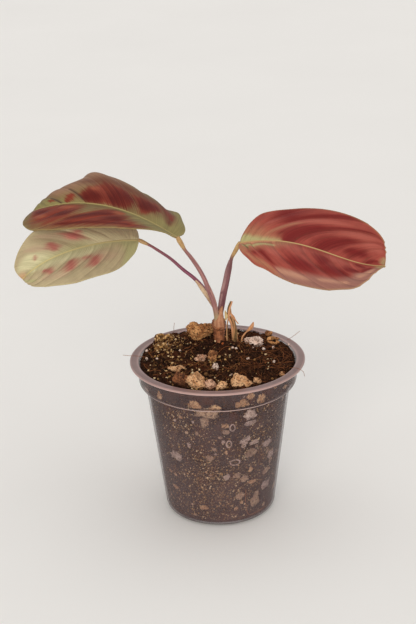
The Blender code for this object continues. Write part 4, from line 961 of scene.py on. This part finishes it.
def pot_rings():
    """The pot's section from the base's centre, up the outside and down the inside to the start of the inner
    base, as (radius, height, how milky, how strong a painted highlight line)."""
    top, under, step_z = POT_HEIGHT, POT_HEIGHT - LIP_THICKNESS, POT_HEIGHT - BAND_HEIGHT
    edge = (LIP_EDGE, LIP_EDGE)
    rings = [(*point, 0.15, 0.0) for point in [(0.0, 0.0)] + base_arc(BASE_ROUND, 10)]
    # The step and the band's foot carry a painted highlight line, the fourth value
    rings += [(side_radius(step_z - 0.6, 0.0), step_z - 0.6, 0.02, 0.0), (STEP_RADIUS, step_z, 0.8, 0.5)]
    rings += [(*point, 0.02, painted_highlight) for point, painted_highlight in zip(band_arc(0.0, 10), PAINTED_FOOT_HIGHLIGHT)]
    rings += [(BAND_RADIUS, under - LIP_ROOT, 0.1, 0.0), (BAND_RADIUS + LIP_ROOT, under, 0.8, 0.0)]
    # Painted highlight lines along the lip's lower outer edge and, fainter, its top
    for height, start, bright in ((under + LIP_EDGE, -90, 0.35), (top - LIP_EDGE, 0, 0.1)):
        lip = arc((RIM_RADIUS - LIP_EDGE, height), edge, start, start + 90, 4)
        rings += [(*point, 1.0, bright) for point in lip]
    mouth = (BAND_RADIUS - WALL + MOUTH_ROUND, top - MOUTH_ROUND)
    rings += [(radius, top, 0.75, 0.0) for radius in (RIM_RADIUS - 1.0, mouth[0] + 0.8)]
    turned_down = arc(mouth, (MOUTH_ROUND, MOUTH_ROUND), 90, 180, 8)
    # A painted highlight line along the mouth's inner edge
    rings += [(*point, 1.0 - 0.5 * k / 8, 0.25 if 1 <= k <= 3 else 0.0)
              for k, point in enumerate(turned_down)]
    rings += [(side_radius(SOIL_LEVEL - drop, WALL), SOIL_LEVEL - drop, milk, 0.0)
              for drop, milk in ((1.0, 0.4), (3.0, 0.0))]
    inside = [point for point in reversed(inner_profile(WALL)) if point[1] < SOIL_LEVEL - 3.5]
    return rings + [(*point, 0.0, 0.0) for point in inside]


def build_pot():
    rings = pot_rings()
    points, faces = lathe([ring[:2] for ring in rings], TURN_STEPS)
    milk, corner = (np.concatenate([np.full(TURN_STEPS if ring[0] > 0 else 1, ring[k]) for ring in rings])
                    for k in (2, 3))
    batch = Batch().add(points, faces, milk=milk, corner=corner)
    pot = batch.piece("pot_shell", pot_material(), "clear_plastic", "pot")
    points, faces = lathe(((0, -WALL), (DRAIN_RADIUS, -WALL), (DRAIN_RADIUS, 2 * WALL), (0, 2 * WALL)), 32)
    for k in range(DRAIN_COUNT):
        angle = math.tau * (k + 0.5) / DRAIN_COUNT
        place = (DRAIN_CIRCLE * math.cos(angle), DRAIN_CIRCLE * math.sin(angle), 0)
        tool = add_object("drain", Batch().add(points + place, faces).mesh("drain"))
        cut = pot.modifiers.new("drain", "BOOLEAN")
        cut.operation = "DIFFERENCE"
        cut.solver = "EXACT"
        cut.object = tool
        bpy.context.view_layer.update()
        mesh = bpy.data.meshes.new_from_object(pot.evaluated_get(bpy.context.evaluated_depsgraph_get()))
        pot.modifiers.clear()
        pot.data = mesh
        bpy.data.objects.remove(tool, do_unlink=True)
    pot.data.set_sharp_from_angle(angle=math.radians(50))


def soil_height(x, y):
    """The soil's surface: level at the wall, mounded round the crown, and uneven."""
    lumps = sum(lump * noise.noise(Vector((x, y, 7.0 * k)) / size)
                for k, (lump, size) in enumerate(SOIL_LUMPS))
    mound, heap = (height * math.exp(-((x - middle_x) ** 2 + (y - middle_y) ** 2) / (2 * spread ** 2))
                   for middle_x, middle_y, height, spread in (CROWN_MOUND, BACK_HEAP))
    return SOIL_LEVEL + mound + heap + lumps


def soil_material():
    shader = Shader("dark_soil_surface")
    lumps = shader.noise(2.2, 5.0, 0.65)
    cells = shader.node("TexVoronoi", {"Vector": shader.place, "Scale": 1 / (0.9 * MM)}).outputs["Distance"]
    colour = shader.mix(shader.ramp(lumps, 0.35, 0.65), srgb(26, 17, 12), srgb(56, 34, 24))
    colour = shader.mix(shader.ramp(shader.noise(9.0), 0.5, 0.65), colour, srgb(70, 38, 24))
    tan = shader.math("MULTIPLY", shader.ramp(cells, 0.35, 0.15), shader.ramp(shader.noise(0.8), 0.5, 0.6))
    colour = shader.mix(tan, colour, srgb(140, 96, 58))
    shader.bump(lumps, 0.6)
    return shader.finish(colour, 0.95, 0.05)


def build_soil():
    profile = inner_profile(SOIL_INSET)
    rings = [point for point in profile if point[1] <= BASE_ROUND - 0.01]
    rings += [(side_radius(z, SOIL_INSET), z) for z in np.linspace(BASE_ROUND, profile[-1][1], 70)]
    rings += [(SOIL_RADIUS, POT_HEIGHT - 4.0), (SOIL_RADIUS, SOIL_LEVEL - 0.8)]
    first_top = 1 + (len(rings) - 1) * SOIL_STEPS
    rings += [(SOIL_RADIUS * (1 - k / 80), SOIL_LEVEL) for k in range(1, 80)] + [(0.0, SOIL_LEVEL)]
    points, faces = lathe(rings, SOIL_STEPS)
    for point in points[first_top:]:
        x, y, _ = point
        rough = 0.8 * noise.noise(Vector((x, y, 3.0)) / 1.3) + 0.5 * noise.noise(Vector((x, y, 5.0)) / 0.6)
        point[2] = soil_height(x, y) + 0.5 * rough
    Batch().add(points, faces).piece("soil_body", soil_material(), "dark_soil", "soil")


# Chips

def stone_material(name):
    light, dark, pit_shade = STONES[name]
    shader = Shader(name + "_surface")
    grain = shader.noise(0.35)
    colour = shader.mix(shader.ramp(shader.noise(3.0, 5.0, 0.7), 0.4, 0.6), dark, light)
    colour = shader.mix(shader.ramp(shader.noise(6.0), 0.52, 0.68), colour, darker(dark, 0.7))
    colour = shader.mix(shader.ramp(grain, 0.45, 0.7, 0.0, 0.6), colour, light)
    # Painted shade in the pits, which the bump also sinks
    shaded_pits = shader.ramp(shader.noise(0.8, 2.0, 0.7), 0.45, 0.37)
    colour = shader.mix(shaded_pits, colour, pit_shade)
    shader.bump(shader.math("SUBTRACT", grain, shaded_pits), 0.5)
    return shader.finish(colour, 0.9, 0.25)


def granule_material():
    """Crumbs of bark and grit, coloured by their tint."""
    shader = Shader("granules")
    grain = shader.noise(0.3)
    colour = shader.toned(shader.colours(shader.value("tint"), CRUMB_TINTS), grain, 0.3, 0.7, 0.72, 1.2)
    shader.bump(grain, 0.2)
    return shader.finish(colour, 0.85, 0.12)


def chip_centre(chip):
    return np.array((chip.x, chip.y, soil_height(chip.x, chip.y) + chip.lift))


def clump_batch(name, chip):
    """A porous clump: grains gathered over the chip's own form."""
    rng = random.Random(name)
    shape, faces = ball(2)
    centre, batch = chip_centre(chip), Batch()
    for _ in range(CLUMP_GRAINS):
        way = np.array([rng.gauss(0, 1) for _ in range(3)])
        size = rng.uniform(*GRAIN_SIZES)
        place = way / np.linalg.norm(way) * (np.array(chip.size) / 2 - size * 0.3)
        grain = crumb(rng, shape, size, 0.35) + centre + place
        batch.add(grain, faces, tint=0.2 + 0.75 * rng.random() ** 1.6)
    return batch


def curl_batch(name, chip):
    """A curled shaving of bark that stands on its edge."""
    turn = np.linspace(0.3, math.tau - 0.2, 26)
    width, depth, height = chip.size
    x, y, z = chip_centre(chip)
    girth = height * CURL_GIRTH * (1 + 0.25 * np.sin(3.0 * turn + 1.0))
    reach = np.array((width / 2, height / 2)) - height * CURL_GIRTH * 0.8
    line = np.stack([x + reach[0] * np.cos(turn), y + 0.25 * depth * np.sin(turn),
                     z + reach[1] * np.sin(turn), girth], axis=1)
    points, faces, _ = tube(line, 16, 0.8)
    rough = np.array([noise.noise(Vector(point) / 0.7) for point in points])
    points += 0.3 * rough[:, None] * (points - points.mean(axis=0)) / np.array(chip.size)
    return Batch().add(points, faces)


def lump_batch(name, chip):
    """A broken lump: a noisy ball, flattened by a few random planes, pitted and scaled to its size."""
    rng = random.Random(name)
    shift = random_shift(rng)
    planes = [(Vector([rng.gauss(0, 1) for _ in range(3)]).normalized(), rng.uniform(*CHIP_BREAK_REACH))
              for _ in range(CHIP_BREAKS)]
    shape, faces = ball(CHIP_DETAIL)
    points = []
    for outward in map(Vector, shape):
        point = outward * (1 + sum(lump * noise.noise(outward * pitch + shift) for lump, pitch in CHIP_LUMPS))
        for normal, limit in planes:
            point -= normal * max(0.0, point.dot(normal) - limit)
        if chip.front:
            step = math.atan2(outward.z, outward.x) / math.tau % 1 * len(chip.front)
            reach = np.interp(step, range(len(chip.front) + 1), (*chip.front, chip.front[0]))
            point = point * (1 + (reach - 1) * math.hypot(outward.x, outward.z))
        point += outward * sum(pit * noise.noise(point * pitch + shift) for pit, pitch in CHIP_PITS)
        points.append(point)
    points = np.array(points)
    low, high = points.min(axis=0), points.max(axis=0)
    points = ((points - low) / (high - low) - 0.5) * chip.size
    turn = math.radians(chip.turn)
    spin = np.array(((math.cos(turn), math.sin(turn), 0), (-math.sin(turn), math.cos(turn), 0), (0, 0, 1)))
    return Batch().add(points @ spin + chip_centre(chip), faces)


def build_chips(stones, granules):
    makers = {"lump": lump_batch, "clump": clump_batch, "curl": curl_batch}
    for name, chip in CHIPS.items():
        material = granules if chip.form == "clump" else stones[chip.looks or chip.slot]
        makers[chip.form](name, chip).piece(name + "_broken", material, chip.slot, name)


# Stalks, crown and withered remains

def along_fibres(shader, around_rate, along_rate, detail=4.0, roughness=0.65):
    """Fibres that run along a stalk, a sheath or a strip."""
    return shader.fibres((shader.value("around"), around_rate), (shader.value("along"), along_rate), detail,
                         roughness)


def stalk_material(name, light, dark, foot, end):
    """Mauve skin, paler at the foot and browner towards the leaf, with an ochre joint under the blade."""
    shader = Shader(name + "_mauve_skin")
    along, fibres = shader.value("along"), along_fibres(shader, 9.0, 6.0, 3.0, 0.6)
    streaks = shader.ramp(fibres, 0.3, 0.7)
    colour = shader.mix(streaks, dark, light)
    colour = shader.mix(shader.ramp(along, 0.17, 0.06), colour, foot)
    colour = shader.mix(shader.ramp(along, 0.4, 0.8, 0.0, 0.75), colour, end)
    ochre = shader.mix(streaks, srgb(156, 120, 74), srgb(186, 152, 102))
    colour = shader.mix(shader.value("joint"), colour, ochre)
    shader.bump(fibres, 0.15)
    return shader.finish(colour, 0.45, 0.4)


def sheath_material(name, light, dark, size=1.0, rings=0.0):
    """Papery skin, with a number of ring scars up its length."""
    shader = Shader(name)
    fibres = along_fibres(shader, 14.0 / size, 3.0)
    colour = shader.mix(shader.ramp(fibres, 0.3, 0.7), dark, light)
    colour = shader.mix(shader.ramp(shader.noise(3.0), 0.45, 0.7), colour, dark)
    if rings:
        scars = shader.math("SINE", shader.math("MULTIPLY", shader.value("along"), rings * math.tau))
        scars = shader.total(scars, shader.noise(2.0))
        colour = shader.mix(shader.ramp(scars, 1.1, 1.5, 0.0, 0.55), colour, darker(dark, 0.6))
    shader.bump(fibres, 0.2)
    return shader.finish(colour, 0.65, 0.3)


def withered_material():
    """Withered tissue: orange-tan, greenish or brown by its tint, with fibres along it."""
    shader = Shader("withered_tissue")
    fibres = along_fibres(shader, 8.0, 9.0)
    colour = shader.toned(shader.colours(shader.value("tint"), WITHERED_TINTS), fibres, 0.3, 0.7, 0.62, 1.15)
    shader.bump(fibres, 0.2)
    return shader.finish(colour, 0.7, 0.25)


def tube_piece(name, line, sides, flatness, material, slot, *replaced, **more):
    points, faces, values = tube(line, sides, flatness)
    Batch().add(points, faces, **values, **more).piece(name, material, slot, *replaced)


def build_stalk(name, stalk, skin, membrane):
    base = midrib(LEAVES[stalk["leaf"]])[1][0]
    last = np.array(stalk["route"][-1][:3])
    towards = (base - last) / np.linalg.norm(base - last)
    seat = base + towards * JOINT_SEAT
    joint = tuple((*(last + (seat - last) * way), stalk["joint"] * girth) for way, girth in JOINT_SHAPE)
    points, faces, values = tube(smooth_route(stalk["route"] + joint, 10), 20)
    swollen = np.clip(((points - last) @ towards / np.linalg.norm(seat - last) + 0.1) / 0.35, 0, 1)
    batch = Batch().add(points, faces, **values, joint=swollen)
    batch.piece(name + "_skin", skin, "mauve_stalk", name)
    tube_piece(name + "_membrane", smooth_route(stalk["sheath"], 10), 16, 0.8, membrane, "mauve_stalk")


def build_crown():
    bottom, top = CROWN_PROFILE[0][1], CROWN_PROFILE[-1][1]
    line = smooth_route([(r, z, 0, 0) for r, z in CROWN_PROFILE], 6)
    points, faces = lathe([(0.0, bottom - 0.4), *(tuple(row[:2]) for row in line), (0.0, top + 0.2)], 64)
    points[:, 1] *= CROWN_DEPTH_RATIO
    for point in points:
        outward = Vector((point[0], point[1], 0)).normalized()
        rough = 0.5 * noise.noise(Vector((point[0], point[1], point[2] * 3)) / 1.6)
        rough += 0.18 * math.sin(point[2] * 4.5 + 2 * outward.x)
        point[:2] += rough * np.array(outward[:2])
    around = np.arctan2(points[:, 1], points[:, 0]) / math.tau + 0.5
    knob = Batch().add(points + (CROWN_X, CROWN_Y, 0), faces, along=(points[:, 2] - bottom) / 26,
                       around=around)
    skin = sheath_material("crown_skin", srgb(184, 116, 74), srgb(100, 56, 36), rings=10.0)
    knob.piece("crown_knob", skin, "papery_sheath", "crown")
    paper = sheath_material("papery_scale", srgb(196, 144, 108), srgb(146, 94, 66), 0.6)
    tube_piece("scale_leaf", smooth_route(SCALE_LEAF, 10), 40, 1.0, paper, "papery_sheath")
    shape, faces = ball(3)
    bud = Batch().add(shape * BUD_SIZE + BUD_PLACE, faces, along=shape[:, 2] / 2 + 0.5,
                      around=shape[:, 0] / 2 + 0.5)
    orange = sheath_material("orange_bud_skin", srgb(206, 112, 48), srgb(128, 62, 30))
    bud.piece("crown_bud", orange, "papery_sheath")
    cream = sheath_material("cream_flake_skin", srgb(222, 202, 150), srgb(170, 138, 90))
    tube_piece("crown_flake", smooth_route(CROWN_FLAKE, 8), 14, 0.5, cream, "papery_sheath")


def build_dried():
    """The withered strips, each frayed into a few thin strands, and the twig."""
    rng = random.Random(5)
    tissue = withered_material()
    batch = Batch()
    for strip in DRIED_SHEATH:
        line = smooth_route(strip, 10)
        share = np.linspace(0, 1, len(line))
        for k in range(STRANDS):
            turn = math.tau * (k / STRANDS + rng.random() / STRANDS)
            sway = turn + rng.uniform(2.0, 5.0) * share
            strand, reach = line.copy(), line[:, 3] * STRAND_REACH
            strand[:, 0] += reach * np.cos(sway)
            strand[:, 1] += 0.7 * reach * np.sin(sway)
            strand[:, 3] = line[:, 3] * rng.uniform(0.4, 0.56) * (1 - 0.2 * share)
            points, faces, values = tube(strand, 10, 0.45)
            batch.add(points, faces, **values, tint=rng.random())
    batch.piece("dried_strips", tissue, "dried_tissue", "dried_sheath")
    twig = smooth_route(DRIED_STALK, 10)
    tube_piece("dried_twig", twig, 14, 0.6, tissue, "dried_tissue", "dried_stalk", tint=0.8)


# Litter

def on_soil(rng):
    """A random place on the soil inside the rim."""
    reach = (SOIL_RADIUS - LITTER_INSET) * math.sqrt(rng.random())
    angle = rng.uniform(0, math.tau)
    return reach * math.cos(angle), reach * math.sin(angle)


def fibre_material():
    shader = Shader("coco_fibre")
    colour = shader.mix(shader.value("tint"), srgb(58, 32, 22), srgb(152, 94, 55))
    return shader.finish(shader.toned(colour, shader.noise(1.5), 0.3, 0.7, 0.8, 1.15), 0.8, 0.1)


def fibre_route(rng, x, y):
    """A bent fibre's way over the soil from a place, as far as the rim."""
    heading, bend = rng.uniform(0, math.tau), rng.uniform(-0.6, 0.6)
    length, lift, radius = (rng.uniform(*span) for span in (FIBRE_LENGTHS, FIBRE_LIFTS, FIBRE_RADII))
    route = []
    for step in range(FIBRE_SPANS + 1):
        if math.hypot(x, y) > SOIL_RADIUS - 0.6:
            break
        arch = lift * math.sin(math.pi * step / FIBRE_SPANS)
        route.append((x, y, soil_height(x, y) + 0.5 + arch, radius))
        heading += bend + rng.uniform(-0.3, 0.3)
        x += length / FIBRE_SPANS * math.cos(heading)
        y += length / FIBRE_SPANS * math.sin(heading)
    return route


def build_top_litter(stones, soil, granules):
    rng = random.Random(11)
    shape, shape_faces = ball(2)
    clods, crumbs, specks, fibres = Batch(), Batch(), Batch(), Batch()

    def on_top(x, y, size, roughness, lift):
        """A crumb that lies on the soil, raised by a share of its size."""
        return crumb(rng, shape, size, roughness) + (x, y, soil_height(x, y) + lift * size), shape_faces

    for k in range(CLODS):
        x, y = on_soil(rng)
        size = rng.uniform(*CLOD_SIZES)
        if k < EDGE_CLODS:
            angle, size = math.tau * k / EDGE_CLODS, rng.uniform(*EDGE_CLOD_SIZES)
            x, y = EDGE_CLOD_RADIUS * math.cos(angle), EDGE_CLOD_RADIUS * math.sin(angle)
        clods.add(*on_top(x, y, size, 0.35, 0.15))
    for k in range(CRUMBS):
        x, y = on_soil(rng)
        heaped = k < HEAPED_CRUMBS
        if heaped:
            x, y = (rng.gauss(*spread) for spread in CRUMB_HEAP)
        if math.hypot(x, y) > SOIL_RADIUS - LITTER_INSET or (x > 10 and rng.random() < 0.6):
            continue
        size = rng.uniform(*CRUMB_SIZES) + RARE_GROWTH * rng.random() ** 6
        crumbs.add(*on_top(x, y, size, 0.4, 0.45), tint=rng.random() ** (0.8 if heaped else 1.7))
    for x, y in BEADS:
        specks.add(*on_top(x, y, rng.uniform(*BEAD_SIZES), 0.3, 0.8))
    for _ in range(FIBRES):
        x, y = on_soil(rng)
        matted = x > 8 or (x < -18 and y > 14)
        if rng.random() > (0.8 if matted else 0.3):
            continue
        route = fibre_route(rng, x, y)
        if len(route) > 2:
            points, faces, _ = tube(smooth_route(route, 3), 5, hint=(0.1, 0.2, 1.0))
            fibres.add(points, faces, tint=rng.random() ** 2.2)
    for hair in HAIRS:
        line = smooth_route([(*place, HAIR_RADIUS) for place in hair], 5)
        points, faces, _ = tube(line, 5, hint=(0.3, 1.0, 0.2))
        fibres.add(points, faces, tint=0.8)
    clods.piece("soil_clods", soil, "dark_soil")
    crumbs.piece("bark_crumbs", granules, TAN, smooth=False)
    specks.piece("perlite_specks", stones[WHITE], WHITE)
    fibres.piece("coco_fibres", fibre_material(), "brown_bark")


def on_wall(points, angle, height):
    """Turn points given as (sideways, inwards, up) into place against the soil's side."""
    z = height + points[:, 2]
    radius = np.array([side_radius(value, SOIL_INSET) for value in z]) - points[:, 1]
    turn = math.radians(angle) + points[:, 0] / radius
    return np.stack([radius * np.sin(turn), -radius * np.cos(turn), z], axis=1)


def build_wall_litter(stones, granules):
    """What is seen through the pot's wall: crumbs, pale stones, rings and a root."""
    rng = random.Random(23)
    small, small_faces = ball(1)
    large, large_faces = ball(3)
    crumbs = Batch()
    for k in range(WALL_CRUMBS):
        angle, height = rng.uniform(-180, 180), rng.uniform(*WALL_SPAN)
        for last, turned, level in WALL_CLUSTERS:
            if k < last:
                angle, height = rng.gauss(*turned), rng.gauss(*level)
                break
        size = rng.uniform(*WALL_CRUMB_SIZES) + RARE_GROWTH * rng.random() ** 6
        shape = crumb(rng, small, size, 0.35)
        shape[:, 1] *= WALL_CRUMB_THICKNESS / size
        if WALL_SPAN[0] < height < WALL_SPAN[1]:
            paleness = 1.6 if k < WALL_CLUSTERS[0][0] else 2.1
            crumbs.add(on_wall(shape, angle, height), small_faces, tint=rng.random() ** paleness)
    crumbs.piece("wall_crumbs", granules, TAN)
    batches = {slot: Batch() for slot in (TAN, CREAM, WHITE)}
    bits = list(WALL_BITS)
    for _ in range(BACK_BITS):
        bits.append((*(rng.uniform(*span) for span in BACK_BIT_SPANS), rng.choice(list(batches))))
    for angle, height, width, tall, slot in bits:
        shift = random_shift(rng)
        swell = np.array([1 + 0.5 * noise.noise(Vector(point) * 1.6 + shift)
                          + 0.5 * noise.noise(Vector(point) * 4.5 + shift) for point in large])
        shape = large * swell[:, None] * (width / 2, WALL_BIT_THICKNESS / 2, tall / 2)
        batches[slot].add(on_wall(shape, angle, height), large_faces)
    turn = np.linspace(0, math.tau, 20)
    for angle, height, wide, tall in WALL_RINGS:
        route = np.stack([wide * np.cos(turn), 0 * turn, tall * np.sin(turn), np.full(20, 0.4)], axis=1)
        points, faces, _ = tube(route, 6, 0.5)
        batches[WHITE].add(on_wall(points, angle, height), faces)
    for slot, batch in batches.items():
        batch.piece("wall_bits_" + slot, stones[WALL_LOOKS[slot]], slot)
    line = smooth_route([(angle, height, 0.0, 0.0) for angle, height in WALL_ROOT], 8)
    middle, level = line[:, 0].mean(), line[:, 1].mean()
    sideways = np.radians(line[:, 0] - middle) * side_radius(level, SOIL_INSET)
    route = np.stack([sideways, 0 * sideways, line[:, 1] - level, np.full(len(line), ROOT_RADIUS)], axis=1)
    points, faces, _ = tube(route, 6)
    root = Batch().add(on_wall(points, middle, level), faces, tint=1.0)
    root.piece("wall_root", fibre_material(), "dried_tissue")


# Sets

def build_camera():
    elevation, roll = math.radians(CAMERA_ELEVATION), math.radians(CAMERA_ROLL)
    back = Vector((0, -math.cos(elevation), math.sin(elevation)))
    level_right = Vector((1, 0, 0))
    level_up = back.cross(level_right)
    right = level_right * math.cos(roll) + level_up * math.sin(roll)
    up = level_up * math.cos(roll) - level_right * math.sin(roll)
    turn = Matrix((right, up, back)).transposed()
    data = bpy.data.cameras.new("camera")
    data.sensor_fit = "VERTICAL"
    data.sensor_height = SENSOR
    data.lens = FOCAL_LENGTH
    camera = add_object("camera", data)
    camera.matrix_world = Matrix.Translation((Vector(AIM) + back * CAMERA_DISTANCE) * MM) @ turn.to_4x4()
    bpy.context.scene.camera = camera


def build_studio():
    for name, direction, strength, softness, colour in LIGHTS:
        data = bpy.data.lights.new(name, "SUN")
        data.energy = strength
        data.angle = math.radians(softness)
        data.color = colour
        add_object(name, data).rotation_euler = Vector(direction).to_track_quat("Z", "Y").to_euler()
    world = bpy.data.worlds.new("studio")
    world.use_nodes = True
    background = world.node_tree.nodes["Background"]
    background.inputs["Color"].default_value = WORLD_COLOUR
    background.inputs["Strength"].default_value = WORLD_STRENGTH
    bpy.context.scene.world = world
    bpy.context.scene.view_settings.view_transform = "Standard"
    bm = bmesh.new()
    bmesh.ops.create_grid(bm, x_segments=8, y_segments=8, size=FLOOR_REACH * MM)
    mesh = bpy.data.meshes.new("floor")
    bm.to_mesh(mesh)
    bm.free()
    shader = Shader("pale_floor")
    shade = shader.mix(shader.noise(180.0), srgb(240, 239, 236), srgb(235, 234, 231))
    mesh.materials.append(shader.finish(shade, 0.8, 0.2))
    floor = add_object("floor", mesh)


def main():
    build_camera()
    build_studio()
    stones = {name: stone_material(name) for name in STONES}
    build_pot()
    build_soil()
    granules = granule_material()
    build_chips(stones, granules)
    build_top_litter(stones, soil_material(), granules)
    build_wall_litter(stones, granules)
    for name, stalk in STALKS.items():
        sheath_light, sheath_dark, *skin = STALK_COLOURS[name]
        build_stalk(name, stalk, stalk_material(name, *skin),
                    sheath_material(name + "_sheath", sheath_light, sheath_dark))
    build_crown()
    build_dried()
    for name, leaf in LEAVES.items():
        build_leaf(name, leaf, PAINT[name])


main()
